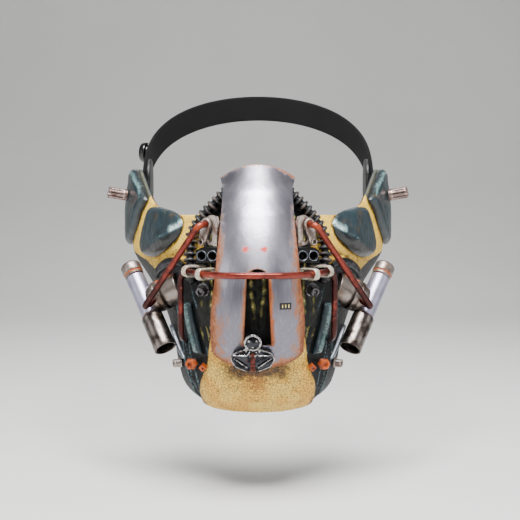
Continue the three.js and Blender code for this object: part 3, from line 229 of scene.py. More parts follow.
@dataclass(frozen=True)
class FaceForm:
    """Moulded surface of the face, by place round it and level down it."""

    half_width: float = 88.0
    reach: float = 131.0
    height: float = 150.0
    rear: float = 14.0
    flare: float = 6.5
    arc: float = 185.0
    step: float = 0.004
    divisions: int = 200

    def sizes(self, level: Array) -> tuple[Array, Array, Array, Array]:
        """Returns half width, depth, power and flare of the section at each level."""
        width, reach, power, flare = (hermite(FACE_ROWS, k, level) for k in (1, 2, 3, 4))
        return self.half_width * width, self.reach * reach + self.rear, power, self.flare * flare

    def bare(self, around: Array, level: Array) -> Array:
        """Returns points on the surface itself, for flat arrays of places.

        Args:
            around: Places round the face.
            level: Levels down it.

        Returns:
            One point for each place.
        """
        side = np.minimum(np.abs(around), 1.0)
        half, depth, power, flare = self.sizes(level)
        shares = np.linspace(0, 1, self.divisions + 1)
        with np.errstate(divide="ignore"):
            sines = np.log(np.sin(shares * math.pi / 2))
            cosines = np.log(np.maximum(np.cos(shares * math.pi / 2), 1e-16))
        bulge = np.sin(math.pi * shares**4)
        points = np.empty((len(side), 3))
        for start in range(0, len(side), 8000):
            part = slice(start, start + 8000)
            out = 2 / power[part, None]
            x = half[part, None] * np.exp(out * sines) + flare[part, None] * bulge
            y = self.rear - depth[part, None] * np.exp(out * cosines)
            length = np.concatenate(
                [np.zeros((len(x), 1)), np.cumsum(np.hypot(np.diff(x), np.diff(y)), axis=1)], axis=1
            )
            wanted = side[part] * length[:, -1]
            low = np.clip((length < wanted[:, None]).sum(axis=1) - 1, 0, self.divisions - 1)
            rows = np.arange(len(x))
            gap = length[rows, low + 1] - length[rows, low]
            share = (low + (wanted - length[rows, low]) / gap) / self.divisions
            angle = share * math.pi / 2
            out = 2 / power[part]
            x = half[part] * np.sin(angle) ** out + flare[part] * np.sin(math.pi * share**4)
            y = self.rear - depth[part] * np.maximum(np.cos(angle), 0) ** out
            points[part, 0] = np.copysign(x, np.asarray(around)[part])
            points[part, 1] = y
        points[:, 2] = -np.asarray(level) * self.height
        return points

    def normal(self, around: Array, level: Array) -> Array:
        """Returns the outward normal at each place.

        Args:
            around: Places round the face.
            level: Levels down it.

        Returns:
            One unit vector for each place.
        """
        held = np.clip(around, self.step - 1, 1 - self.step)
        across = self.bare(held + self.step, level) - self.bare(held - self.step, level)
        down = self.bare(held, level + self.step) - self.bare(held, level - self.step)
        return unit(np.cross(down, across))

    def point(self, around: Array, level: Array, offset: Array | float = 0.0) -> Array:
        """Places points off the surface.

        Args:
            around: Share of the way from the middle of the front to an ear, negative on the left.
            level: Share of the height, down from the studs.
            offset: Distance out from the surface.

        Returns:
            One point for each place, in the shape of the places.
        """
        around, level, offset = np.broadcast_arrays(around, level, offset)
        shape = around.shape
        flat_around, flat_level = around.ravel().astype(float), level.ravel().astype(float)
        points = self.bare(flat_around, flat_level)
        points += self.normal(flat_around, flat_level) * offset.ravel()[:, None]
        return points.reshape(*shape, 3)

    def front(self, across: Array, level: Array, proud: Array | float) -> Array:
        """Returns points in front of the face, across it by shares of the half width.

        Args:
            across: Shares of the half width, from -1 to 1.
            level: Levels down it.
            proud: Distance in front of the surface.

        Returns:
            The points.
        """
        across, level, proud = np.broadcast_arrays(across, level, proud)
        half, depth, power, _ = self.sizes(level)
        x = across * self.half_width
        share = np.minimum(np.abs(x) / half, 1)
        y = self.rear - depth * (1 - share**power) ** (1 / power) - proud
        return np.stack([x, y, -level * self.height], axis=-1)


FACE = FaceForm()
SEAT = 0.6


# Meshes


def deselect() -> None:
    """Deselects every object."""
    bpy.ops.object.select_all(action="DESELECT")


def only(piece: bpy.types.Object) -> None:
    """Selects one object and makes it the active one.

    Args:
        piece: The piece.
    """
    deselect()
    piece.select_set(True)
    bpy.context.view_layer.objects.active = piece


def tidy_mesh(piece: bpy.types.Object, smooth: float = 40.0) -> bpy.types.Object:
    """Merges doubles, turns the faces outward and smooths all but the sharp edges.

    Args:
        piece: Object whose mesh is tidied.
        smooth: Angle in degrees above which an edge stays sharp.

    Returns:
        The same object.
    """
    only(piece)
    bpy.ops.object.mode_set(mode="EDIT")
    bpy.ops.mesh.select_all(action="SELECT")
    bpy.ops.mesh.remove_doubles(threshold=2e-6)
    bpy.ops.mesh.dissolve_degenerate(threshold=1e-6)
    bpy.ops.mesh.normals_make_consistent(inside=False)
    bpy.ops.object.mode_set(mode="OBJECT")
    bpy.ops.object.shade_smooth_by_angle(angle=math.radians(smooth))
    return piece


def skin(
    name: str,
    rings: Array,
    masks: dict[str, Array] | None = None,
    wrap: bool = True,
    smooth: float = 40.0,
) -> bpy.types.Object:
    """Lays a sheet over rings of points, and closes it into a body where its edges meet.

    Args:
        name: Name of the piece.
        rings: Points as rings by points round a ring by 3, in millimetres.
        masks: Values of named attributes, as rings by points round a ring.
        wrap: Whether each ring closes on itself.
        smooth: Angle in degrees above which an edge stays sharp.

    Returns:
        The piece.
    """
    masks = dict(masks or {})
    if wrap:
        rings = np.concatenate([rings, rings[:, :1]], axis=1)
        masks = {key: np.concatenate([value, value[:, :1]], axis=1) for key, value in masks.items()}
    rows, columns = rings.shape[:2]
    deselect()
    bpy.ops.mesh.primitive_grid_add(x_subdivisions=columns - 1, y_subdivisions=rows - 1, size=2)
    piece = bpy.context.object
    piece.name = piece.data.name = name
    flat = np.empty(len(piece.data.vertices) * 3)
    piece.data.vertices.foreach_get("co", flat)
    flat = flat.reshape(-1, 3)
    column = np.rint((flat[:, 0] + 1) / 2 * (columns - 1)).astype(int)
    row = np.rint((flat[:, 1] + 1) / 2 * (rows - 1)).astype(int)
    piece.data.vertices.foreach_set("co", (rings[row, column] * MM).ravel())
    for key, value in masks.items():
        layer = piece.data.attributes.new(key, "FLOAT", "POINT")
        layer.data.foreach_set("value", value[row, column].astype(np.float32))
    return tidy_mesh(piece, smooth)


def lathe(
    name: str,
    profile: Sequence[tuple[float, float]],
    sides: int,
    place: Array,
    turn: Array,
    round_rule: Callable[[Array, Array], Array] | None = None,
) -> bpy.types.Object:
    """Turns a profile about the local +Z axis.

    Args:
        name: Name of the piece.
        profile: Radius and place along the axis of each ring.
        sides: Points round each ring.
        place: Origin of the profile.
        turn: Frame whose third axis is the axis.
        round_rule: Factor on the radius by angle and ring number.

    Returns:
        The piece.
    """
    angles = np.linspace(0, 2 * math.pi, sides, endpoint=False)
    radius = np.array([row[0] for row in profile])[:, None]
    along = np.array([row[1] for row in profile])[:, None]
    masks = {"edge": np.repeat(lathe_edges(profile)[:, None], sides, axis=1)}
    if round_rule is not None:
        factor = round_rule(angles[None, :], np.arange(len(profile))[:, None])
        radius = radius * factor
        masks["flute"] = (1 - factor) / max(1e-6, float((1 - factor).max()))
    local = np.stack(
        [radius * np.cos(angles), radius * np.sin(angles), along + 0 * angles[None, :]], axis=-1
    )
    return skin(name, local @ turn.T + place, masks, smooth=32)


def lathe_edges(profile: Sequence[tuple[float, float]]) -> Array:
    """Returns how much each ring of a profile stands on an outer corner, from 0 to 1.

    Args:
        profile: Radius and height of each ring.

    Returns:
        One value for each ring.
    """
    points = np.array([[r, a] for r, a in profile], float)
    sharp = np.zeros(len(points))
    for at in range(1, len(points) - 1):
        before, after = points[at] - points[at - 1], points[at + 1] - points[at]
        size = np.linalg.norm(before) * np.linalg.norm(after)
        if size > 1e-9:
            sharp[at] = abs(before[0] * after[1] - before[1] * after[0]) / size
    return np.clip(sharp * 1.4, 0, 1)


def rounded(profile: Sequence[tuple[float, float]], radius: float,
            steps: int = 3) -> list[tuple[float, float]]:
    """Rounds the corners of a profile.

    Args:
        profile: Radius and place along the axis of each corner.
        radius: How far before each corner its round starts.
        steps: Points on each round.

    Returns:
        The profile with its corners rounded.
    """
    points = [np.array(row, float) for row in profile]
    result = [tuple(points[0])]
    for at in range(1, len(points) - 1):
        corner = points[at]
        before, after = corner - points[at - 1], points[at + 1] - corner
        reach = min(radius, np.linalg.norm(before) * 0.45, np.linalg.norm(after) * 0.45)
        if reach < 1e-4:
            result.append(tuple(corner))
            continue
        start, end = corner - unit(before) * reach, corner + unit(after) * reach
        for t in np.linspace(0, 1, steps + 1):
            result.append(tuple((1 - t) ** 2 * start + 2 * t * (1 - t) * corner + t**2 * end))
    result.append(tuple(points[-1]))
    return result


def path_frames(path: Array) -> tuple[Array, Array]:
    """Carries a frame along a path without twist.

    Args:
        path: Points along it.

    Returns:
        Two unit vectors across the path at each point.
    """
    tangent = unit(np.gradient(path, axis=0))
    side = np.empty_like(path)
    start = np.cross(tangent[0], [0.0, 0.0, 1.0])
    if np.linalg.norm(start) < 0.2:
        start = np.cross(tangent[0], [0.0, 1.0, 0.0])
    side[0] = unit(start)
    for at in range(1, len(path)):
        moved = side[at - 1] - tangent[at] * np.dot(side[at - 1], tangent[at])
        side[at] = unit(moved)
    return side, np.cross(tangent, side)


def tube(
    name: str, path: Array, radii: Array | float, sides: int = 20, mask: tuple[str, Array] | None = None
) -> bpy.types.Object:
    """Draws a round rod along a path, with rounded ends.

    Args:
        name: Name of the piece.
        path: Points along its middle.
        radii: Radius, or one for each point.
        sides: Points round it.
        mask: Name of an attribute, and its value at each point of the path.

    Returns:
        The piece.
    """
    radii = np.broadcast_to(radii, len(path)).astype(float)
    tangent = unit(np.gradient(path, axis=0))
    soft = min(0.6, radii[0] * 0.4)
    path = np.vstack([path[:1], path[:1], path[:1] + tangent[:1] * soft, path[1:-1],
                      path[-1:] - tangent[-1:] * soft, path[-1:], path[-1:]])
    radii = np.concatenate([[0, radii[0] - soft, radii[0]], radii[1:-1], [radii[-1], radii[-1] - soft, 0]])
    first, last = path[3] - path[2], path[-3] - path[-4]
    steady = path.copy()
    steady[0], steady[1] = path[2] - first * 2, path[2] - first
    steady[-1], steady[-2] = path[-3] + last * 2, path[-3] + last
    side, up = path_frames(steady)
    angles = np.linspace(0, 2 * math.pi, sides, endpoint=False)[None, :, None]
    rings = path[:, None] + radii[:, None, None] * (np.cos(angles) * side[:, None] + np.sin(angles)
                                                    * up[:, None])
    masks = {}
    if mask is not None:
        ends = np.concatenate([mask[1][:1], mask[1][:1], mask[1], mask[1][-1:], mask[1][-1:]])
        masks[mask[0]] = np.broadcast_to(ends[:, None], rings.shape[:2])
    return skin(name, rings, masks)


def plate_solid(
    name: str,
    loops: Sequence[Sequence[tuple[float, float]]],
    depth: float,
    place: Array,
    turn: Array,
    bevel: float = 0.35,
) -> bpy.types.Object:
    """Cuts a flat shape with holes, thickens it and rounds its edges.

    Args:
        name: Name of the piece.
        loops: Outline and holes, each a closed list of points.
        depth: Thickness, from the local origin along +Z.
        place: Place of the local origin.
        turn: Frame of the local axes.
        bevel: Size of its rounded edges.

    Returns:
        The piece.
    """
    curve = bpy.data.curves.new(name, "CURVE")
    curve.dimensions, curve.fill_mode = "2D", "BOTH"
    for loop in loops:
        spline = curve.splines.new("POLY")
        spline.points.add(len(loop) - 1)
        spline.points.foreach_set("co", [v for x, y in loop for v in (x * MM, y * MM, 0, 1)])
        spline.use_cyclic_u = True
    curve.offset = -bevel * MM
    curve.extrude = (depth / 2 - bevel) * MM
    curve.bevel_depth, curve.bevel_resolution = bevel * MM, 2
    piece = bpy.data.objects.new(name, curve)
    bpy.context.collection.objects.link(piece)
    only(piece)
    bpy.ops.object.convert(target="MESH")
    piece = bpy.context.object
    middle = place + turn[:, 2] * depth / 2
    matrix = Matrix([[*turn[k], middle[k] * MM] for k in range(3)] + [[0, 0, 0, 1]])
    piece.data.transform(matrix)
    return tidy_mesh(piece, 30)


def ring_points(radius: float, sides: int, centre: tuple[float, float] = (0, 0), turn: float = 0) -> list:
    """Returns the corners of a round or many-sided outline.

    Args:
        radius: Radius to the corners.
        sides: Number of corners.
        centre: Middle of the outline.
        turn: Angle of the first corner.

    Returns:
        The corners, in order.
    """
    return [
        (centre[0] + radius * math.cos(turn + 2 * math.pi * k / sides),
         centre[1] + radius * math.sin(turn + 2 * math.pi * k / sides))
        for k in range(sides)
    ]


def slot_points(radius: float, run: float, start: float = 0.0, sides: int = 12) -> list:
    """Returns a slot outline with round ends, from start to start + run along +Y.

    Args:
        radius: Radius of the ends.
        run: Length between the ends' middles.
        start: Height of the first middle.
        sides: Corners along each end.

    Returns:
        The corners, in order.
    """
    top = [(radius * math.cos(a), start + run + radius * math.sin(a)) for a in np.linspace(0, math.pi, sides)]
    foot = [(radius * math.cos(a), start + radius * math.sin(a))
            for a in np.linspace(math.pi, 2 * math.pi, sides)]
    return top + foot


def joined(pieces: Sequence[bpy.types.Object], name: str) -> bpy.types.Object:
    """Joins pieces into one object and names it.

    Args:
        pieces: Pieces to join.
        name: Name of the result.

    Returns:
        The joined piece.
    """
    only(pieces[0])
    for piece in pieces[1:]:
        piece.select_set(True)
    bpy.ops.object.join()
    pieces[0].name = pieces[0].data.name = name
    return pieces[0]


def mirrored(piece: bpy.types.Object, name: str) -> bpy.types.Object:
    """Returns a mirror image of a piece, with its own mesh.

    Args:
        piece: The piece.
        name: Name of the mirror image.

    Returns:
        The mirror image.
    """
    copy = piece.copy()
    copy.data = piece.data.copy()
    copy.name = copy.data.name = name
    bpy.context.collection.objects.link(copy)
    copy.data.transform(Matrix.Diagonal((-1, 1, 1, 1)))
    copy.data.flip_normals()
    return copy


def subtract(piece: bpy.types.Object, cutter: bpy.types.Object) -> bpy.types.Object:
    """Cuts one piece by another, and removes the cutter.

    Args:
        piece: The piece.
        cutter: Closed piece that cuts it.

    Returns:
        The piece that was cut.
    """
    change = piece.modifiers.new("cut", "BOOLEAN")
    change.operation, change.solver, change.object = "DIFFERENCE", "EXACT", cutter
    only(piece)
    bpy.ops.object.modifier_apply(modifier=change.name)
    bpy.data.objects.remove(cutter)
    return piece


def hammered(piece: bpy.types.Object, size: float, height: float) -> bpy.types.Object:
    """Gives a piece the slight lumps of hand work.

    Args:
        piece: Piece to change.
        size: Width of a lump.
        height: Height of a lump.

    Returns:
        The same piece.
    """
    texture = bpy.data.textures.new(piece.name + "_lumps", "CLOUDS")
    texture.noise_scale = size * MM
    change = piece.modifiers.new("lumps", "DISPLACE")
    change.texture, change.strength, change.mid_level = texture, height * MM, 0.5
    change.texture_coords = "LOCAL"
    only(piece)
    bpy.ops.object.modifier_apply(modifier=change.name)
    return piece


# Finishes


def linear(hex_colour: str) -> tuple[float, float, float, float]:
    """Turns an sRGB hex colour to a linear one.

    Args:
        hex_colour: Six hex digits.

    Returns:
        The linear colour, with alpha 1.
    """
    parts = [int(hex_colour[k : k + 2], 16) / 255 for k in (0, 2, 4)]
    red, green, blue = (v / 12.92 if v <= 0.04045 else ((v + 0.055) / 1.055) ** 2.4 for v in parts)
    return red, green, blue, 1.0


def add_node(tree: bpy.types.NodeTree, kind: str, settings: dict | None = None,
             inputs: dict | None = None) -> bpy.types.Node:
    """Adds a node with its settings and links.

    Args:
        tree: Node tree of a material.
        kind: Node type.
        settings: Attributes of the node.
        inputs: Value or socket for each input, by name or number.

    Returns:
        The node.
    """
    node = tree.nodes.new(kind)
    for key, value in (settings or {}).items():
        setattr(node, key, value)
    for key, value in (inputs or {}).items():
        if isinstance(value, bpy.types.NodeSocket):
            tree.links.new(value, node.inputs[key])
        else:
            node.inputs[key].default_value = value
    return node


class Pattern(Enum):
    """Patterns that a layer or a relief can follow."""

    CLOUDS = "clouds"
    PEBBLES = "pebbles"
    CREVICES = "crevices"
    WEAVE = "weave"
    PLAIN = "plain"


@dataclass(frozen=True)
class Texture:
    """One procedural pattern at a real size in millimetres."""

    pattern: Pattern = Pattern.CLOUDS
    size: float = 5.0
    stretch: tuple[float, float, float] = (1.0, 1.0, 1.0)
    detail: float = 4.0
    shift: float = 0.0

    def socket(self, tree: bpy.types.NodeTree) -> bpy.types.NodeSocket:
        """Adds the pattern's nodes and returns its value, about 0 to 1.

        Args:
            tree: Node tree of the material.

        Returns:
            The pattern's value.
        """
        source = add_node(tree, "ShaderNodeTexCoord")
        spot = source.outputs["UV" if self.pattern is Pattern.WEAVE else "Object"]
        mapping = add_node(
            tree,
            "ShaderNodeMapping",
            inputs={"Vector": spot, "Location": (self.shift,) * 3,
                    "Scale": tuple(1 / s for s in self.stretch)},
        )
        vector, scale = mapping.outputs[0], 1 / (self.size * MM)
        if self.pattern is Pattern.CLOUDS:
            noise = add_node(
                tree, "ShaderNodeTexNoise", inputs={"Vector": vector, "Scale": scale, "Detail": self.detail}
            )
            return noise.outputs["Fac"]
        if self.pattern is Pattern.WEAVE:
            warp, weft = (
                add_node(
                    tree,
                    "ShaderNodeTexWave",
                    {"bands_direction": direction},
                    {"Vector": vector, "Scale": self.size, "Distortion": 0.3},
                ).outputs["Fac"]
                for direction in ("X", "Y")
            )
            return add_node(tree, "ShaderNodeMath", {"operation": "MAXIMUM"}, {0: warp, 1: weft}).outputs[0]
        feature = "DISTANCE_TO_EDGE" if self.pattern is Pattern.CREVICES else "F1"
        warped = add_node(
            tree, "ShaderNodeTexNoise", inputs={"Vector": vector, "Scale": scale * 0.7, "Detail": 2.0}
        )
        moved = add_node(
            tree,
            "ShaderNodeMix",
            {"data_type": "VECTOR"},
            {"Factor": self.size * MM * 0.5, 4: vector, 5: warped.outputs["Color"]},
        )
        cells = add_node(
            tree, "ShaderNodeTexVoronoi", {"feature": feature}, {"Vector": moved.outputs[1], "Scale": scale}
        )
        return cells.outputs["Distance"]


@dataclass(frozen=True)
class Layer:
    """A colour laid over the base where its pattern, and its mask if it has one, let it show."""

    colour: str
    texture: Texture = Texture()
    low: float = 0.45
    high: float = 0.6
    amount: float = 1.0
    mask: str = ""
    roughness: float | None = None
    metallic: float | None = None


@dataclass(frozen=True)
class Relief:
    """Fine surface relief."""

    texture: Texture
    height: float
    low: float = 0.0
    high: float = 1.0


@dataclass(frozen=True)
class Finish:
    """A paint or a metal, with its layers of colour, wear and dirt."""

    name: str
    slot: str
    base: str
    roughness: float
    metallic: float = 0.0
    layers: tuple[Layer, ...] = ()
    reliefs: tuple[Relief, ...] = ()
    coat: float = 0.0
    sheen: float = 0.0
    ior: float = 1.5

    def factor(self, tree: bpy.types.NodeTree, layer: Layer) -> bpy.types.NodeSocket:
        """Adds the nodes that say where a layer shows.

        Args:
            tree: Node tree of the material.
            layer: The layer.

        Returns:
            Its factor, from 0 to its amount.
        """
        masked = None
        if layer.mask:
            masked = add_node(tree, "ShaderNodeAttribute", {"attribute_name": layer.mask}).outputs["Fac"]
        if layer.texture.pattern is Pattern.PLAIN:
            value = masked
        else:
            value = layer.texture.socket(tree)
            if masked is not None:
                # The mask lifts or drowns the pattern, so its edge stays ragged
                lifted = add_node(tree, "ShaderNodeMath", {"operation": "ADD"}, {0: value, 1: masked})
                value = add_node(
                    tree, "ShaderNodeMath", {"operation": "SUBTRACT"}, {0: lifted.outputs[0], 1: 1.0}
                ).outputs[0]
                value = add_node(tree, "ShaderNodeMath", {"operation": "ADD"}, {0: value, 1: 0.5}).outputs[0]
        low, high, ends = layer.low, layer.high, (0.0, layer.amount)
        if low > high:
            low, high, ends = high, low, (layer.amount, 0.0)
        return add_node(
            tree,
            "ShaderNodeMapRange",
            {"interpolation_type": "SMOOTHSTEP", "clamp": True},
            {"Value": value, "From Min": low, "From Max": high, "To Min": ends[0], "To Max": ends[1]},
        ).outputs["Result"]

    def material(self) -> bpy.types.Material:
        """Builds the material, or returns it if it is already there.

        Returns:
            The material.
        """
        if self.name in bpy.data.materials:
            return bpy.data.materials[self.name]
        material = bpy.data.materials.new(self.name)
        material.use_nodes = True
        tree = material.node_tree
        shader = tree.nodes["Principled BSDF"]
        shader.inputs["Base Color"].default_value = linear(self.base)
        shader.inputs["Roughness"].default_value = self.roughness
        shader.inputs["Metallic"].default_value = self.metallic
        shader.inputs["Coat Weight"].default_value = self.coat
        shader.inputs["Coat Roughness"].default_value = 0.25
        shader.inputs["Sheen Weight"].default_value = self.sheen
        shader.inputs["IOR"].default_value = self.ior
        colour, rough, metal = None, None, None
        for layer in self.layers:
            share = self.factor(tree, layer)
            colour = add_node(
                tree,
                "ShaderNodeMix",
                {"data_type": "RGBA"},
                {"Factor": share, 6: colour or linear(self.base), 7: linear(layer.colour)},
            ).outputs[2]
            if layer.roughness is not None:
                rough = add_node(
                    tree, "ShaderNodeMix", inputs={"Factor": share, 2: rough or self.roughness,
                                                   3: layer.roughness}
                ).outputs[0]
            if layer.metallic is not None:
                metal = add_node(
                    tree,
                    "ShaderNodeMix",
                    inputs={"Factor": share, 2: metal if metal is not None else self.metallic,
                            3: layer.metallic},
                ).outputs[0]
        for key, value in (("Base Color", colour), ("Roughness", rough), ("Metallic", metal)):
            if value is not None:
                tree.links.new(value, shader.inputs[key])
        normal = None
        for relief in self.reliefs:
            height = add_node(
                tree,
                "ShaderNodeMapRange",
                {"interpolation_type": "SMOOTHSTEP", "clamp": True},
                {"Value": relief.texture.socket(tree), "From Min": relief.low, "From Max": relief.high},
            )
            inputs = {"Height": height.outputs["Result"], "Distance": relief.height * MM, "Strength": 1.0}
            if normal is not None:
                inputs["Normal"] = normal
            normal = add_node(tree, "ShaderNodeBump", inputs=inputs).outputs["Normal"]
        if normal is not None:
            tree.links.new(normal, shader.inputs["Normal"])
        return material


# Hand-painted moulded resin: cream with a fine crackle and dark below; the brown to near black at the feet of
# the pads, lobes and arch, in the crease, under the pads, at the rim and beside the plate is painted shade
CHEEK_PAINT = Finish(
    "painted_resin_cheeks", "cheek_cream", "F8CE50", 0.5,
    layers=(
        Layer("D7A63C", Texture(size=12.0), 0.45, 0.7, 0.6),
        Layer("8C5E22", Texture(Pattern.CREVICES, 1.5), 0.12, 0.02, 0.62),
        Layer("7A531B", Texture(size=4.0), 0.4, 0.82, 0.85, mask="shade"),
        Layer("1E1207", Texture(size=2.0), 0.68, 1.05, 0.94, mask="shade"),
        Layer("070C0E", Texture(size=3.0), 0.42, 0.58, 1.0, mask="lower", roughness=0.45),
        Layer("040506", Texture(size=7.0), 0.8, 1.15, 0.9, mask="lower"),
        Layer("223A43", Texture(size=3.0), 0.45, 0.7, 0.9, mask="slate", roughness=0.5),
        Layer("5C7880", Texture(size=1.6), 0.56, 0.95, 0.8, mask="ridge", roughness=0.42),
        Layer("8F8448", Texture(size=1.5, shift=4.0), 0.56, 0.9, 0.85, mask="olive"),
        Layer("131415", Texture(Pattern.PLAIN), 0.4, 0.6, 1.0, mask="inside", roughness=0.8),
    ),
    reliefs=(Relief(Texture(Pattern.CREVICES, 1.5), 0.14, 0.0, 0.25), Relief(Texture(size=4.0), 0.3)),
    ior=1.4,
)
# The same paint over a pebbled mould: small cells with dark crevices; the brown to near black under the
# casting, at its edges and at its sides is painted shade
CHIN_PAINT = Finish(
    "painted_resin_chin", "chin_cream", "E8B03A", 0.55,
    layers=(
        Layer("F4CC5E", Texture(size=13.0), 0.4, 0.62, 0.8),
        Layer("B87626", Texture(size=10.0, shift=3.0), 0.52, 0.75, 0.4),
        Layer("A05A22", Texture(size=3.0), 0.45, 0.9, 0.65, mask="rust"),
        Layer("5E3B12", Texture(size=3.0), 0.38, 0.78, 0.85, mask="shade"),
        Layer("0C0703", Texture(size=2.0), 0.62, 1.0, 0.94, mask="shade"),
        Layer("4A2C0C", Texture(Pattern.CREVICES, 1.9), 0.12, 0.02, 0.72),
    ),
    reliefs=(Relief(Texture(Pattern.CREVICES, 1.9), 0.45, 0.0, 0.3),),
)
# Blue-grey acrylic over resin: worn pale on crests and edges; the near black on the pads' lower bevels, at
# the feet of the pieces and round the studs is painted shade
SLATE_PAINT = Finish(
    "painted_resin_slate", "slate_paint", "1E2F35", 0.38,
    layers=(
        Layer("121D21", Texture(size=9.0), 0.42, 0.62, 0.7),
        Layer("5C4622", Texture(size=8.0, shift=5.0), 0.56, 0.72, 0.4),
        Layer("050809", Texture(size=4.0), 0.42, 0.85, 0.95, mask="dark"),
        Layer("63807F", Texture(size=1.5), 0.52, 0.88, 0.85, mask="wear", roughness=0.34),
        Layer("CFDFE0", Texture(size=0.9), 0.82, 1.1, 0.85, mask="wear", roughness=0.3),
    ),
    reliefs=(Relief(Texture(size=4.0), 0.4), Relief(Texture(size=0.9), 0.08)),
    coat=0.2,
)
ARCH_PAINT = Finish(
    "painted_resin_arch", "arch_paint", "0A0F12", 0.36,
    layers=(
        Layer("040506", Texture(size=6.0), 0.4, 0.6, 0.8),
        Layer("3E4E54", Texture(size=1.4), 0.6, 0.72, 0.6),
    ),
    reliefs=(Relief(Texture(size=3.0), 0.3),),
    ior=1.42,
)
# Black-olive sculpted resin with olive and cream on its ridges, partly drybrushed paint and partly painted
# highlight, fading out lower down as painted shade
CORE_PAINT = Finish(
    "painted_resin_core", "core_olive", "050604", 0.55,
    layers=(
        Layer("131408", Texture(size=4.0), 0.45, 0.6, 0.8),
        Layer("5A5628", Texture(size=2.4), 0.4, 0.78, 0.9, mask="ridge"),
        Layer("BDAF6C", Texture(size=1.2), 0.8, 1.05, 0.8, mask="ridge"),
    ),
    reliefs=(Relief(Texture(size=1.5), 0.25),),
    ior=1.35,
)
# Sheet steel, brushed down its length, rusted from its edges inwards, with painted shade making it darker
# grey lower down
PLATE_STEEL = Finish(
    "brushed_sheet_steel", "plate_steel", "B4B1BC", 0.36, 1.0,
    layers=(
        Layer("8E8A97", Texture(size=10.0, stretch=(1, 1, 3)), 0.42, 0.66, 0.6),
        Layer("6C6A74", Texture(size=10.0, stretch=(1, 1, 4)), 0.4, 0.85, 0.85, mask="low", roughness=0.42),
        Layer("BDB9C4", Texture(size=0.8, stretch=(1, 1, 18)), 0.52, 0.75, 0.22),
        Layer("65616A", Texture(size=0.7, stretch=(1, 1, 22), shift=2.0), 0.54, 0.74, 0.35, roughness=0.46),
        Layer("A2622C", Texture(size=3.2, stretch=(1, 1, 2.6)), 0.46, 0.82, 0.8, mask="rust",
              roughness=0.55, metallic=0.5),
        Layer("74380F", Texture(size=1.5, stretch=(1, 1, 2)), 0.72, 1.05, 0.9, mask="rust", roughness=0.75,
              metallic=0.0),
        Layer("964704", Texture(size=2.0, stretch=(1, 1, 3), shift=4.0), 0.62, 0.98, 0.92, mask="orange",
              roughness=0.6, metallic=0.0),
        Layer("5E2E10", Texture(size=1.2, stretch=(1, 1, 4), shift=7.0), 0.92, 1.15, 0.9, mask="orange",
              roughness=0.7, metallic=0.0),
        Layer("C42602", Texture(size=1.0), 0.5, 0.85, 0.95, mask="mark", roughness=0.6, metallic=0.0),
    ),
    reliefs=(Relief(Texture(size=0.6, stretch=(1, 1, 30)), 0.03), Relief(Texture(size=9.0), 0.14)),
)
# Copper-red lacquer on steel wire, darker maroon down the guard's legs and at the cheek rod's bend, partly
# grime and partly painted shade, with pinkish patches of painted highlight, rubbed orange at its ends
COPPER_RED = Finish(
    "copper_red_lacquered_rod", "copper_red", "7C3026", 0.3, 0.65,
    layers=(
        Layer("451510", Texture(size=9.0), 0.45, 0.65, 0.8),
        Layer("2C0B08", Texture(size=3.0), 0.45, 0.85, 0.92, mask="grime_and_shade"),
        # Pinkish patches of painted highlight
        Layer("C8705C", Texture(size=4.0, shift=2.0), 0.6, 0.74, 0.35, roughness=0.25),
        Layer("200705", Texture(size=1.4), 0.62, 0.74, 0.45, roughness=0.5),
        Layer("943804", Texture(size=2.5), 0.74, 1.04, 0.8, mask="orange", roughness=0.5, metallic=0.1),
    ),
    reliefs=(Relief(Texture(size=1.5), 0.06),),
)
# Nickel-plated fittings, stained brown
SILVER_METAL = Finish(
    "stained_nickel_fitting", "silver_fitting", "B3A79F", 0.34, 0.9,
    layers=(
        Layer("6B4F42", Texture(size=4.0), 0.48, 0.66, 0.8, roughness=0.5),
        Layer("26170F", Texture(size=1.6), 0.58, 0.72, 0.85, roughness=0.65),
        Layer("F2ECEE", Texture(size=1.5, shift=3.0), 0.6, 0.7, 0.5, roughness=0.3),
    ),
    reliefs=(Relief(Texture(size=1.5), 0.05),),
)
# Turned metal of the studs, pinkish brown with dirt in its flutes
STUD_METAL = Finish(
    "tarnished_stud_metal", "silver_fitting", "A8928C", 0.3, 0.9,
    layers=(
        Layer("6A4B42", Texture(size=3.0), 0.46, 0.64, 0.8, roughness=0.45),
        Layer("1F120C", Texture(size=1.4), 0.6, 0.74, 0.8, roughness=0.6),
        Layer("0C0706", Texture(Pattern.PLAIN), 0.4, 0.7, 0.9, mask="flute", roughness=0.6),
    ),
    reliefs=(Relief(Texture(size=1.5), 0.05),),
)
# Dull grey metal of the ports' rings and the nuts, dark with grime
GRIMY_METAL = Finish(
    "grimy_grey_metal", "silver_fitting", "5E5B5E", 0.38, 0.9,
    layers=(
        Layer("201D1E", Texture(size=2.0), 0.45, 0.62, 0.85, roughness=0.55),
        Layer("B9B3B4", Texture(size=1.5, shift=3.0), 0.62, 0.7, 0.5, roughness=0.3),
    ),
    reliefs=(Relief(Texture(size=1.5), 0.05),),
)
# Painted tin straps, yellowed white
CLAMP_PAINT = Finish(
    "aged_painted_clamp", "aged_clamp", "BFB4A2", 0.38, 0.4,
    layers=(
        Layer("8A5532", Texture(size=2.5), 0.52, 0.68, 0.75),
        Layer("20130B", Texture(size=1.0), 0.6, 0.72, 0.85),
        Layer("8F9298", Texture(size=3.0, shift=6.0), 0.52, 0.66, 0.6),
    ),
    reliefs=(Relief(Texture(size=1.0), 0.08),),
)
STRIP_METAL = Finish(
    "brushed_aluminium_strip", "strip_aluminium", "9AA1AB", 0.33, 0.9,
    layers=(
        Layer("4A545A", Texture(size=3.0), 0.5, 0.65, 0.8, roughness=0.55),
        Layer("8A4A28", Texture(size=2.0, shift=2.0), 0.62, 0.74, 0.7, roughness=0.7, metallic=0.2),
    ),
    reliefs=(Relief(Texture(size=0.6, stretch=(1, 1, 12)), 0.05),),
)
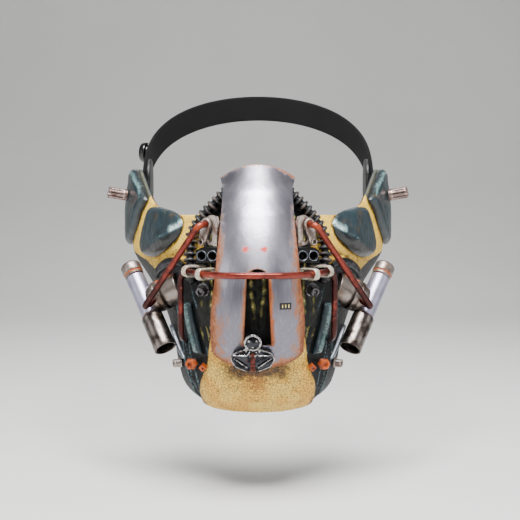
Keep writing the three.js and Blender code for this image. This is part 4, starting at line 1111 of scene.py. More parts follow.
# Black rubber: the grey on the crests of its ribs is painted highlight, with brownish dust over it
HOSE_RUBBER = Finish(
    "satin_black_rubber", "hose_rubber", "050506", 0.36,
    layers=(
        Layer("3A383A", Texture(size=1.6), 0.6, 0.92, 0.8, mask="crest"),
        Layer("8C7868", Texture(size=5.0, shift=1.0), 0.78, 1.1, 0.5, mask="crest"),
    ),
    reliefs=(Relief(Texture(size=0.8), 0.04),),
    ior=1.4,
)
PORT_PLASTIC = Finish(
    "satin_black_plastic", "port_black", "030304", 0.4,
    layers=(Layer("121214", Texture(size=2.0), 0.55, 0.7, 0.6),),
    reliefs=(Relief(Texture(size=0.9), 0.03),),
    ior=1.38,
)
# Anodised aluminium tube: even lavender grey with grime at its ends
CANISTER_METAL = Finish(
    "anodised_canister_tube", "canister_steel", "A5A2B6", 0.36, 0.75,
    layers=(
        Layer("838194", Texture(size=14.0), 0.45, 0.65, 0.6),
        Layer("7A5338", Texture(size=3.0), 0.75, 1.1, 0.8, mask="edge", roughness=0.6),
        Layer("62606E", Texture(size=1.2, stretch=(1, 1, 4)), 0.64, 0.78, 0.4),
    ),
    reliefs=(Relief(Texture(size=0.8, stretch=(1, 1, 6)), 0.03),),
)
CAP_BRONZE = Finish(
    "rusted_bronze_cap", "cap_bronze", "8F8580", 0.38, 0.85,
    layers=(
        Layer("533B2C", Texture(size=6.0), 0.42, 0.62, 0.8, roughness=0.5),
        Layer("B9774C", Texture(size=4.0, shift=2.0), 0.58, 0.72, 0.6, roughness=0.6, metallic=0.4),
        Layer("33241B", Texture(size=1.5), 0.6, 0.74, 0.8, roughness=0.7),
        Layer("A8500E", Texture(Pattern.PLAIN), 0.4, 0.7, 0.85, mask="orange", roughness=0.6, metallic=0.0),
    ),
    reliefs=(Relief(Texture(size=1.5), 0.06),),
)
# Dark cast cup; the flat black down its bore is painted shade
CUP_METAL = Finish(
    "dark_cast_cup", "cup_dark", "7F7671", 0.3, 1.0,
    layers=(
        Layer("2E2520", Texture(size=7.0), 0.4, 0.6, 0.88),
        Layer("241B15", Texture(size=2.0), 0.6, 0.74, 0.8, roughness=0.6),
        Layer("8C7A1C", Texture(size=2.5, shift=9.0), 0.66, 0.74, 0.7, roughness=0.7, metallic=0.0),
        Layer("040404", Texture(Pattern.PLAIN), 0.4, 0.6, 1.0, mask="bore_shade", roughness=0.9, metallic=0.0),
    ),
    reliefs=(Relief(Texture(size=1.6), 0.06),),
)
# Rusted boss metal; the near black in its groove and on its underside is painted shade
BOSS_METAL = Finish(
    "rusted_boss_metal", "boss_metal", "8B8079", 0.34, 0.9,
    layers=(
        Layer("544438", Texture(size=9.0), 0.4, 0.6, 0.85),
        Layer("9E4714", Texture(size=4.0, shift=2.0), 0.46, 0.8, 0.9, mask="orange", roughness=0.65,
              metallic=0.2),
        Layer("4E4A2E", Texture(size=4.0, shift=8.0), 0.6, 0.72, 0.5, roughness=0.6, metallic=0.4),
        Layer("0F0A08", Texture(size=3.0), 0.45, 0.85, 0.92, mask="grime_and_shade", roughness=0.6),
    ),
    reliefs=(Relief(Texture(size=1.5), 0.06),),
)
PLUG_PLASTIC = Finish(
    "moulded_orange_plastic", "plug_orange", "AE4A02", 0.36,
    layers=(
        Layer("6A1F02", Texture(size=3.0), 0.44, 0.62, 0.75),
        Layer("2A1106", Texture(size=1.4), 0.6, 0.72, 0.8, roughness=0.6),
    ),
    reliefs=(Relief(Texture(size=1.0), 0.05),),
    coat=0.2,
)
# Dark cast panes and their bright rubbed edges
CAST_METAL = Finish(
    "gunmetal_casting", "cast_gunmetal", "3A3B40", 0.26, 0.95,
    layers=(
        Layer("0A0A0C", Texture(size=4.0), 0.42, 0.6, 0.85),
        Layer("4E2B22", Texture(size=2.5, shift=3.0), 0.58, 0.74, 0.6, roughness=0.5),
    ),
    reliefs=(Relief(Texture(size=1.6), 0.05),),
)
CAST_BRIGHT = Finish(
    "rubbed_bright_casting", "cast_gunmetal", "B2B0B0", 0.24, 1.0,
    layers=(
        Layer("3A3634", Texture(size=1.8), 0.46, 0.62, 0.88, roughness=0.4),
        Layer("140E0B", Texture(size=1.1), 0.56, 0.7, 0.85, roughness=0.5),
    ),
    reliefs=(Relief(Texture(size=1.5), 0.04),),
)
CAST_COPPER = Finish(
    "coppery_casting_stack", "cast_gunmetal", "5C3029", 0.32, 0.85,
    layers=(Layer("2A1512", Texture(size=1.6), 0.45, 0.65, 0.85),),
    reliefs=(Relief(Texture(size=1.5), 0.04),),
)
LABEL_BLACK = Finish(
    "black_sticker", "plate_steel", "060606", 0.45,
    layers=(Layer("2A241C", Texture(size=1.2), 0.58, 0.72, 0.7),),
)
LABEL_CREAM = Finish(
    "pale_sticker_ink", "plate_steel", "C9B878", 0.5,
    layers=(Layer("5E5230", Texture(size=1.0), 0.5, 0.7, 0.7),),
)
WEBBING = Finish(
    "woven_black_webbing", "webbing_black", "040405", 0.7,
    layers=(Layer("0E0E10", Texture(Pattern.WEAVE, 26.0, (1, 0.07, 1)), 0.3, 0.8, 0.7),),
    reliefs=(Relief(Texture(Pattern.WEAVE, 26.0, (1, 0.07, 1)), 0.25),),
    ior=1.33,
)
TAB_LEATHER = Finish(
    "smooth_black_leather", "tab_black", "050506", 0.4,
    layers=(Layer("1A1F22", Texture(size=3.0), 0.6, 0.75, 0.5),),
    reliefs=(Relief(Texture(Pattern.CREVICES, 1.2), 0.08, 0.0, 0.2),),
)
KNOB_PLASTIC = Finish(
    "glossy_black_snap", "knob_black", "030304", 0.22,
    layers=(Layer("1E1E21", Texture(size=2.0), 0.62, 0.75, 0.5, roughness=0.4),),
    coat=0.3,
)


def dress(piece: bpy.types.Object, finish: Finish, *nodes: str) -> bpy.types.Object:
    """Gives a piece its finish and its place in the frame.

    Args:
        piece: Finished piece.
        finish: Its finish.
        *nodes: Nodes of the frame that it stands for.

    Returns:
        The piece.
    """
    piece.data.materials.clear()
    piece.data.materials.append(finish.material())
    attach(piece, ROOT)
    if nodes:
        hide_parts(*nodes)
    LOG.info("%s: %d faces, %s", piece.name, len(piece.data.polygons), finish.name)
    return piece


def dress_pair(piece: bpy.types.Object, finish: Finish, node: str) -> None:
    """Dresses a piece made for the right side, and its mirror image for the left.

    Args:
        piece: Finished piece of the right side.
        finish: Finish of both.
        node: Name of the nodes without their side; the pieces are named after it.
    """
    stem = piece.name.removesuffix("_made")
    left = mirrored(piece, f"{stem}_left_made")
    piece.name = piece.data.name = f"{stem}_right_made"
    nodes = (f"{node}_right", f"{node}_left") if node else ()
    dress(piece, finish, *nodes[:1])
    dress(left, finish, *nodes[1:])


# Covers bent onto the face form


def cover_rings(
    outline: Sequence[tuple[float, float]],
    middle: tuple[float, float],
    spokes: int,
    radii: Array,
) -> tuple[Array, Array, Array]:
    """Lays rings inside a closed outline on the face.

    Args:
        outline: Places of the edge, as around and level.
        middle: Place that the rings shrink to.
        spokes: Points on each ring.
        radii: Share of the way from the middle to the edge of each ring.

    Returns:
        Around, level and distance to the edge in millimetres, each as rings by spokes.
    """
    edge = smooth_curve(outline, True, 40)[:-1]
    edge = evenly(np.vstack([edge, edge[:1]]), spokes + 1)[:-1]
    around = middle[0] + (edge[:, 0] - middle[0]) * radii[:, None]
    level = middle[1] + (edge[:, 1] - middle[1]) * radii[:, None]
    flat = np.stack([around.ravel() * FACE.arc, level.ravel() * FACE.height], axis=1)
    rim = np.stack([edge[:, 0] * FACE.arc, edge[:, 1] * FACE.height], axis=1)
    gap = np.full(len(flat), 1e9)
    for start in range(0, len(flat), 4000):
        part = flat[start : start + 4000]
        gap[start : start + 4000] = np.sqrt(((part[:, None] - rim[None]) ** 2).sum(-1)).min(1)
    gap = gap.reshape(around.shape)
    gap[radii >= 0.9999] = 0
    return around, level, gap


def cover(
    name: str,
    outline: Sequence[tuple[float, float]],
    middle: tuple[float, float],
    height: Callable[[Array, Array, Array], Array],
    masks: Callable[[Array, Array, Array], dict[str, Array]],
    spokes: int = 160,
    rings: int = 44,
) -> bpy.types.Object:
    """Makes a moulded cover that lies on the face.

    Args:
        name: Name of the piece.
        outline: Places of its edge, as around and level.
        middle: Place inside it that its rings shrink to.
        height: Height over its seat by around, level and distance to the edge.
        masks: Attributes by the same three.
        spokes: Points on each ring.
        rings: Rings on its upper side.

    Returns:
        The piece.
    """
    inner = np.linspace(0, 0.9, rings, endpoint=False)
    near = 0.9 + 0.1 * np.sin(np.linspace(0, math.pi / 2, 14))
    radii = np.concatenate([inner, near])
    around, level, gap = cover_rings(outline, middle, spokes, radii)
    top = FACE.point(around, level, SEAT + height(around, level, gap))
    under = radii[::-6]
    around_under, level_under, _ = cover_rings(outline, middle, spokes, under)
    foot = FACE.point(around_under, level_under, SEAT)
    values = masks(around, level, gap)
    filler = {key: np.zeros(foot.shape[:2]) for key in values}
    values = {key: np.concatenate([value, filler[key]]) for key, value in values.items()}
    return skin(name, np.concatenate([top, foot]), values, smooth=60)


def ledge(gap: Array, radius: float) -> Array:
    """Returns the height share of a quarter-round edge, by distance from the edge."""
    t = np.clip(gap / radius, 0, 1)
    return np.sqrt(1 - (1 - t) ** 2)


def to_mm(around: Array, level: Array) -> tuple[Array, Array]:
    """Returns places on the face as millimetres round and down it."""
    return np.asarray(around) * FACE.arc, np.asarray(level) * FACE.height


def distance_to(around: Array, level: Array, outline: Sequence[tuple[float, float]],
                closed: bool = True) -> Array:
    """Returns the distance in millimetres from places on the face to an outline on it.

    Args:
        around: Places round the face.
        level: Levels down it.
        outline: Corners of the outline, as places on the face.
        closed: Whether the last corner joins the first.

    Returns:
        The distances.
    """
    line = smooth_curve(outline, closed, 12)
    x, y = to_mm(np.abs(around), level)
    lx, ly = to_mm(line[:, 0], line[:, 1])
    flat = np.stack([x.ravel(), y.ravel()], axis=1)
    gap = np.sqrt((flat[:, None, 0] - lx) ** 2 + (flat[:, None, 1] - ly) ** 2).min(1)
    return gap.reshape(x.shape)


LOBE_OUTLINE = [
    (0.985, 0.05), (0.985, 0.16), (0.955, 0.21), (0.9, 0.24), (0.86, 0.228), (0.815, 0.19),
    (0.775, 0.15), (0.74, 0.1), (0.71, 0.06), (0.685, 0.03), (0.72, -0.01), (0.765, -0.045),
    (0.82, -0.085), (0.88, -0.12), (0.94, -0.12), (0.975, -0.06),
]
PAD_OUTLINE = [
    (0.705, 0.235), (0.685, 0.27), (0.61, 0.285), (0.525, 0.265), (0.445, 0.225), (0.39, 0.18),
    (0.372, 0.13), (0.41, 0.09), (0.5, 0.068), (0.59, 0.06), (0.63, 0.068), (0.66, 0.11),
    (0.688, 0.175),
]
LOBE_CREST = [(0.93, -0.1), (0.87, -0.095), (0.81, -0.06), (0.75, -0.02), (0.72, 0.03), (0.75, 0.08)]
SCUFF_PLACES = [(0.38, 0.125), (0.395, 0.145), (0.43, 0.16)]
CHIN_HALF_OUTLINE = [
    (0.0, 0.92), (0.13, 0.915), (0.215, 0.905), (0.25, 0.88), (0.245, 0.83), (0.23, 0.78),
    (0.21, 0.735), (0.2, 0.7), (0.195, 0.65), (0.19, 0.6), (0.18, 0.58), (0.155, 0.59),
    (0.09, 0.61), (0.0, 0.615),
]
CREASE_PLACES = [(0.31, 0.3), (0.345, 0.275), (0.41, 0.262), (0.48, 0.275), (0.55, 0.31)]
ARCH_PLACES = [(0.335, 0.31), (0.36, 0.297), (0.42, 0.295), (0.48, 0.31), (0.54, 0.34), (0.57, 0.368)]


@dataclass
class Shell:
    """Moulded shell of the cheeks, nose and jaw."""

    wall: float = 3.0
    columns: int = 300
    rows: int = 70
    rim_steps: int = 6

    def build(self) -> None:
        """Builds and dresses the shell."""
        around = np.linspace(-1, 1, self.columns)
        side = np.abs(around)
        top, bottom = hermite(RIM_ROWS, 1, side), hermite(RIM_ROWS, 2, side)
        half = self.wall / 2
        soft = half / FACE.height
        down = np.linspace(0, 1, self.rows)
        turn = np.linspace(0, math.pi, self.rim_steps + 2)[1:-1]
        levels, offsets = [], []
        for share in down:
            levels.append(top + soft + (bottom - top - 2 * soft) * share)
            offsets.append(0.0)
        for angle in turn:
            levels.append(bottom - soft + soft * math.sin(angle))
            offsets.append(-half + half * math.cos(angle))
        for share in down[::-2]:
            levels.append(top + soft + (bottom - top - 2 * soft) * share)
            offsets.append(-self.wall)
        for angle in turn:
            levels.append(top + soft - soft * math.sin(angle))
            offsets.append(-half - half * math.cos(angle))
        level = np.stack(levels, axis=1)
        offset = np.broadcast_to(np.array(offsets), level.shape)
        places = np.broadcast_to(around[:, None], level.shape)
        lift = np.where(offset == 0.0, self.relief(places, level), 0.0)
        rings = FACE.point(places, level, offset + lift)
        middle = FACE.point(places[[0, -1]], level[[0, -1]], -half)
        rings = np.concatenate([middle[:1], rings, middle[1:]])
        masks = self.masks(places, level, offset)
        masks = {key: np.concatenate([value[:1], value, value[-1:]]) for key, value in masks.items()}
        masks["inside"][[0, -1]] = 1.0
        piece = skin("face_shell_made", rings, masks, smooth=50)
        dress(piece, CHEEK_PAINT, "face_shell")

    def tendons(self, around: Array, level: Array) -> Array:
        """Returns how far each place of the jaw lies on a sculpted tendon, from 0 to 1.

        Args:
            around: Places round the face.
            level: Levels down it.

        Returns:
            The share at each place.
        """
        flow = np.abs(around) + 0.37 * (level - 0.45)
        height = np.zeros_like(flow)
        for place, width in ((0.225, 0.011), (0.252, 0.009), (0.28, 0.01), (0.38, 0.009), (0.405, 0.007),
                             (0.43, 0.009)):
            sway = 0.004 * np.sin(level * 40 + place * 90)
            height = np.maximum(height, np.exp(-(((flow - place + sway) / width) ** 2)))
        inside = smoothstep(level, 0.33, 0.42) * smoothstep(np.abs(around), 0.14, 0.2)
        return height * inside * smoothstep(level, 0.92, 0.84)

    def relief(self, around: Array, level: Array) -> Array:
        """Returns the height of the jaw's tendons and of the crease under the cheeks."""
        crease = distance_to(around, level, CREASE_PLACES, closed=False)
        return 2.0 * self.tendons(around, level) - 1.3 * np.exp(-((crease / 1.6) ** 2))

    def masks(self, around: Array, level: Array, offset: Array) -> dict[str, Array]:
        """Says where painted shade browns and darkens the paint, where it is slate or worn, where it turns
        dark below and where the inside starts.

        Args:
            around: Places round the face.
            level: Levels down it.
            offset: Distance out from the outer surface.

        Returns:
            The attributes of the finish.
        """
        side = np.abs(around)
        pad = distance_to(around, level, PAD_OUTLINE)
        lobe = distance_to(around, level, LOBE_OUTLINE)
        arch = distance_to(around, level, ARCH_PLACES, closed=False)
        crease = distance_to(around, level, CREASE_PLACES, closed=False)
        top, bottom = hermite(RIM_ROWS, 1, side), hermite(RIM_ROWS, 2, side)
        rim = np.minimum(level - top, bottom - level) * FACE.height
        under_pad = smoothstep(level, 0.19, 0.3) * smoothstep(side, 0.36, 0.42)
        # Painted shade at the feet of the pads, lobes and arch, at the rim, in the crease, under the pads and
        # beside the plate
        shade = np.maximum.reduce([
            np.exp(-pad / 1.7), np.exp(-lobe / 1.1) * 0.85, np.exp(-arch / 4.0),
            np.exp(-rim / 1.3) * 0.75, np.exp(-crease / 1.2), 0.5 * under_pad,
            smoothstep(side, 0.3, 0.25) * 0.8,
        ])
        lip = np.interp(side, [0, 0.28, 0.34, 0.42, 0.5, 0.56, 0.6, 0.7, 1.0],
                        [0.02, 0.27, 0.3, 0.285, 0.31, 0.345, 0.345, 0.3, 0.24])
        lower = np.maximum(smoothstep(level - lip, -0.006, 0.012), smoothstep(side, 0.26, 0.22))
        tendon = self.tendons(around, level)
        olive = tendon * smoothstep(side, 0.27, 0.22) * smoothstep(level, 0.66, 0.58)
        streak = np.exp(-((rim - 3.0) / 3.0) ** 2) * smoothstep(level, 0.74, 0.8)
        ear = smoothstep(side, 0.66, 0.7) * smoothstep(level, 0.045, 0.02)
        edge = smoothstep(side, 0.5, 0.53) * np.exp(-((bottom - level) * FACE.height / 2.2) ** 2)
        return {
            "shade": np.clip(shade, 0, 1), "lower": lower, "olive": olive,
            "ridge": np.maximum.reduce([tendon * 0.82 * (1 - olive), streak * 0.7, edge * 0.8, ear * 0.4]),
            "slate": np.maximum(ear, edge), "inside": (offset < -0.6 * self.wall).astype(float),
        }


@dataclass
class Cheeks:
    """Padded lobes before the ears, faceted cheek pads and the arched lips under them."""

    lobe_height: float = 5.2
    pad_height: float = 6.0
    arch_radius: float = 2.8

    def build(self) -> None:
        """Builds and dresses the lobes, pads and arches."""
        lobe = cover("ear_lobe_made", LOBE_OUTLINE, (0.86, 0.06), self.lobe_shape, self.lobe_masks)
        dress_pair(hammered(lobe, 9.0, 0.5), SLATE_PAINT, "ear_lobe")
        pad = cover("cheek_pad_made", PAD_OUTLINE, (0.55, 0.18), self.pad_shape, self.pad_masks, 200, 60)
        dress_pair(hammered(pad, 7.0, 0.35), SLATE_PAINT, "cheek_pad")
        path = smooth_curve(FACE.point(*np.array(ARCH_PLACES).T, self.arch_radius + SEAT), False, 14)
        share = np.linspace(0, 1, len(path))
        radii = self.arch_radius * (0.45 + 0.55 * np.sin(math.pi * np.clip(share, 0.05, 0.95)) ** 0.6)
        dress_pair(hammered(tube("cheek_arch_made", path, radii, 24), 5.0, 0.5), ARCH_PAINT, "cheek_arch")

    def lobe_shape(self, around: Array, level: Array, gap: Array) -> Array:
        """Returns the height of a lobe: full, with a round edge and a crest along its inner side."""
        inner = distance_to(around, level, LOBE_CREST, closed=False)
        return self.lobe_height * (ledge(gap, 6.5) * 0.9 + 0.12 * np.exp(-((inner / 4.5) ** 2)))

    def lobe_masks(self, around: Array, level: Array, gap: Array) -> dict[str, Array]:
        """Returns where painted shade darkens a lobe, at its foot, its rear and round the stud, and where it
        is worn on its crest.

        Args:
            around: Places round the face.
            level: Levels down it.
            gap: Distance in from the cover's outline, in millimetres.

        Returns:
            The attributes of the finish.
        """
        inner = distance_to(around, level, LOBE_CREST, closed=False)
        crest = np.exp(-((inner / 2.6) ** 2)) * smoothstep(level, 0.12, -0.02)
        stud = np.hypot((around - 0.87) * FACE.arc, (level - 0.008) * FACE.height)
        # Painted shade at the lobe's foot, on its rear side and round the stud
        dark = np.maximum(np.exp(-gap / 1.5), 0.6 * smoothstep(around, 0.9, 0.97))
        return {"dark": np.maximum(dark, 0.8 * np.exp(-((stud / 6.0) ** 2))), "wear": crest * 0.8}

    def crease(self, around: Array, level: Array) -> Array:
        """Returns the distance above the crease between a pad's face and its lower bevel."""
        line = np.interp(around, [0.36, 0.42, 0.5, 0.6, 0.71], [0.137, 0.168, 0.203, 0.238, 0.255])
        return (line - level) * FACE.height * 0.93

    def pad_shape(self, around: Array, level: Array, gap: Array) -> Array:
        """Returns the height of a pad: two broad facets, and a bevel that falls to its lower edge.

        Args:
            around: Places round the face.
            level: Levels down it.
            gap: Distance in from the cover's outline, in millimetres.

        Returns:
            The height at each place.
        """
        above = self.crease(around, level)
        x, _ = to_mm(around - 0.5, level)
        outer = self.pad_height * 0.98 - 0.05 * x - 0.03 * above
        inner = self.pad_height + 0.22 * x
        bevel = self.pad_height * 0.97 + np.minimum(above, 3.0) * 0.5
        sharp = 2.4
        form = -np.log(np.exp(-outer * sharp) + np.exp(-inner * sharp) + np.exp(-bevel * sharp)) / sharp
        return np.maximum(form, 1.6) * ledge(gap, 3.6)

    def pad_masks(self, around: Array, level: Array, gap: Array) -> dict[str, Array]:
        """Returns where painted shade makes a pad near black, on its lower bevel and at its edge, and where
        it is scuffed.

        Args:
            around: Places round the face.
            level: Levels down it.
            gap: Distance in from the cover's outline, in millimetres.

        Returns:
            The attributes of the finish.
        """
        above = self.crease(around, level)
        # Painted shade on the lower bevel and at the edge
        dark = np.maximum(smoothstep(above, 0.5, -2.0) * 0.98, np.exp(-gap / 1.1) * 0.9)
        corner = distance_to(around, level, SCUFF_PLACES, closed=False)
        wear = 0.62 * np.exp(-((above - 0.6) / 1.1) ** 2) * smoothstep(around, 0.68, 0.5)
        wear = np.maximum(wear, np.exp(-((corner / 4.5) ** 2)) * smoothstep(above, -1.5, 0.5))
        wear = np.maximum(wear, np.exp(-((gap - 3.0) / 1.3) ** 2) * smoothstep(above, 3.0, 10.0) * 0.5)
        return {"dark": dark, "wear": wear}


BAND_ROWS = np.array([[0.465, 0.33, 0.02], [0.53, 0.315, 0.024], [0.6, 0.285, 0.024], [0.675, 0.248, 0.022]])
STRIP_ROWS = np.array([[0.575, 0.48, 0.008], [0.645, 0.415, 0.012], [0.71, 0.345, 0.016]])
CORE_ROWS = np.array(
    [
        # level, half width round the face, depth
        [0.01, 0.1, 0.3],
        [0.06, 0.135, 0.5],
        [0.13, 0.175, 0.65],
        [0.22, 0.215, 0.8],
        [0.3, 0.235, 0.95],
        [0.4, 0.245, 1.0],
        [0.48, 0.265, 0.85],
        [0.55, 0.25, 0.45],
    ]
)


def ribbon(name: str, rows: Array, thickness: float, steps: int = 60, width: int = 12) -> bpy.types.Object:
    """Makes a raised ribbon down the face.

    Args:
        name: Name of the piece.
        rows: Level, middle and half width of each row.
        thickness: Its height over its seat.
        steps: Cells down it.
        width: Cells across it.

    Returns:
        The piece.
    """
    level = np.linspace(rows[0, 0], rows[-1, 0], steps)
    middle, half = hermite(rows, 1, level), hermite(rows, 2, level)
    angle = np.linspace(0, math.pi, width)
    across = np.concatenate([-np.cos(angle), [0.5, 0.0, -0.5]])
    lift = np.concatenate([np.sin(angle) ** 0.6, [0, 0, 0]])
    ends = np.ones(steps)
    ends[:4] = ends[-4:][::-1] = [0.0, 0.6, 0.85, 0.96]
    ends[-4:] = [0.96, 0.85, 0.6, 0.0]
    around = middle[:, None] + across[None] * half[:, None]
    offset = SEAT + lift[None] * thickness * ends[:, None]
    rings = FACE.point(around, np.broadcast_to(level[:, None], around.shape), offset)
    wear = np.broadcast_to((lift**3)[None] * 0.8, around.shape)
    # Painted shade along the ribbon's flanks
    dark = np.broadcast_to(((1 - lift) ** 2)[None] * 0.8, around.shape)
    rings = np.concatenate([rings[:1].mean(axis=1, keepdims=True) + 0 * rings[:1], rings,
                            rings[-1:].mean(axis=1, keepdims=True) + 0 * rings[-1:]])
    masks = {"wear": wear, "dark": dark}
    masks = {key: np.concatenate([value[:1], value, value[-1:]]) for key, value in masks.items()}
    return skin(name, rings, masks, smooth=50)


@dataclass
class Jaw:
    """Sculpted core, bands, strips, bolts and the pebbled chin."""

    core_depth: float = 12.0
    core_hollow: float = 0.7
    core_rounding: float = 0.25
    band: float = 3.4
    strip: float = 2.0
    chin: float = 5.0
    bolt_radius: float = 2.7
    bolt_length: float = 5.0
    bolt_place: tuple[float, float] = (0.385, 0.73)

    def build(self) -> None:
        """Builds and dresses the pieces of the jaw."""
        self.build_core()
        dress_pair(hammered(ribbon("jaw_band_made", BAND_ROWS, self.band), 6.0, 0.5), SLATE_PAINT, "jaw_band")
        dress_pair(ribbon("jaw_strip_made", STRIP_ROWS, self.strip), STRIP_METAL, "jaw_strip")
        self.build_chin()
        self.build_bolt()

    def build_core(self) -> None:
        """Builds the core with tendon-like ridges down its front."""
        columns, rows = 170, 150
        flank = np.linspace(-1, 1, columns)
        level = np.linspace(CORE_ROWS[0, 0], CORE_ROWS[-1, 0], rows)
        half = hermite(CORE_ROWS, 1, level)
        depth = hermite(CORE_ROWS, 2, level)
        around = flank[None] * half[:, None]
        levels = np.broadcast_to(level[:, None], around.shape)
        seat = FACE.point(around, levels, SEAT)
        hollow = 1 - self.core_hollow * (1 - flank**2)
        rounding = 1 - self.core_rounding * flank**6
        front = seat.copy()
        front[..., 1] -= depth[:, None] * hollow * rounding * self.core_depth
        x = seat[..., 0]
        sway = 1.2 * np.sin(levels * 22 + np.abs(x) * 0.2)
        ridge = np.zeros_like(x)
        for place, width, size in ((4.4, 2.3, 1.0), (11.5, 2.0, 0.8), (17.5, 1.8, 1.0), (23.0, 1.7, 1.0),
                                   (28.5, 1.7, 1.0), (34.0, 1.5, 0.9)):
            fork = place * (0.35 + 0.65 * smoothstep(levels, 0.5, 0.36)) if place < 6 else place
            ridge = np.maximum(ridge, size * np.exp(-(((np.abs(x) - fork + sway * 0.5) / width) ** 2)))
        links = 0.8 + 0.2 * np.sin(levels * 130 + np.sign(x) * 1.2)
        lift = 2.6 * ridge * links
        front[..., 1] -= lift * (1 - np.abs(flank) ** 12)
        rings = np.concatenate([front, seat[:, ::-1][:, 1:-1][:, ::6]], axis=1)
        # Drybrush and painted highlight on the ridges, fading out lower down as painted shade
        lit = ridge**2 * links * smoothstep(levels, 0.56, 0.46)
        mask = np.concatenate([lit, np.zeros((rows, rings.shape[1] - columns))], axis=1)
        ends = [rings[k].mean(axis=0) + 0 * rings[k] for k in (0, -1)]
        rings = np.concatenate([ends[0][None], rings, ends[1][None]])
        mask = np.concatenate([mask[:1], mask, mask[-1:]])
        dress(skin("jaw_core_made", rings, {"ridge": mask}, smooth=60), CORE_PAINT, "jaw_core")

    def build_chin(self) -> None:
        """Builds the pebbled chin."""
        left = [(-a, v) for a, v in CHIN_HALF_OUTLINE[-2:0:-1]]
        piece = cover("chin_cup_made", CHIN_HALF_OUTLINE + left, (0.0, 0.76), self.chin_shape,
                      self.chin_masks, 300, 80)
        dress(hammered(piece, 12.0, 0.6), CHIN_PAINT, "chin_cup")

    def chin_shape(self, around: Array, level: Array, gap: Array) -> Array:
        """Returns the height of the chin: full over its foot, thinner in its wedges."""
        full = 0.6 + 0.4 * smoothstep(level, 0.68, 0.8)
        return self.chin * full * ledge(gap, 5.0) * (0.9 + 0.1 * smoothstep(gap, 4.0, 12.0))

    def chin_masks(self, around: Array, level: Array, gap: Array) -> dict[str, Array]:
        """Returns where the chin is rusty under the casting, and where painted shade darkens it under the
        casting, at its edges and at its sides.

        Args:
            around: Places round the face.
            level: Levels down it.
            gap: Distance in from the cover's outline, in millimetres.

        Returns:
            The attributes of the finish.
        """
        x, y = to_mm(np.abs(around), level)
        stain = np.exp(-((x / 12.0) ** 2)) * smoothstep(level, 0.86, 0.76)
        # Painted shade under the casting, at the edges and at the sides
        under = smoothstep(level - 0.0004 * x, 0.79, 0.715) * smoothstep(x, 34.0, 12.0)
        side = smoothstep(np.abs(around), 0.17, 0.25) * 0.85
        shade = np.maximum.reduce([np.exp(-gap / 2.8) * 0.9, under * 0.85, side])
        return {"rust": stain * 0.85, "shade": np.clip(shade, 0, 1)}

    def build_bolt(self) -> None:
        """Builds the round socket bolts on the jaw."""
        place = np.array(self.bolt_place)
        seat = FACE.point(place[:1], place[1:], SEAT)[0]
        turn = facing(FACE.normal(place[:1], place[1:])[0])
        r, length = self.bolt_radius, self.bolt_length
        profile = rounded(
            [(0, 0), (r * 1.25, 0), (r * 1.25, 0.9), (r, 0.9), (r, length), (r * 0.5, length),
             (r * 0.5, length - 1.6), (0, length - 1.6)], 0.35)
        dress_pair(lathe("jaw_bolt_made", profile, 32, seat, turn), SILVER_METAL, "jaw_bolt")


PLATE_ROWS = np.array(
    [
        # level, width, proud
        [-0.118, 0.83, 0.42],
        [-0.06, 0.78, 0.62],
        [0.0, 0.76, 0.8],
        [0.12, 0.79, 0.88],
        [0.25, 0.86, 0.92],
        [0.35, 0.91, 1.0],
        [0.5, 1.0, 1.08],
        [0.62, 1.0, 0.84],
        [0.705, 0.96, 0.55],
    ]
)


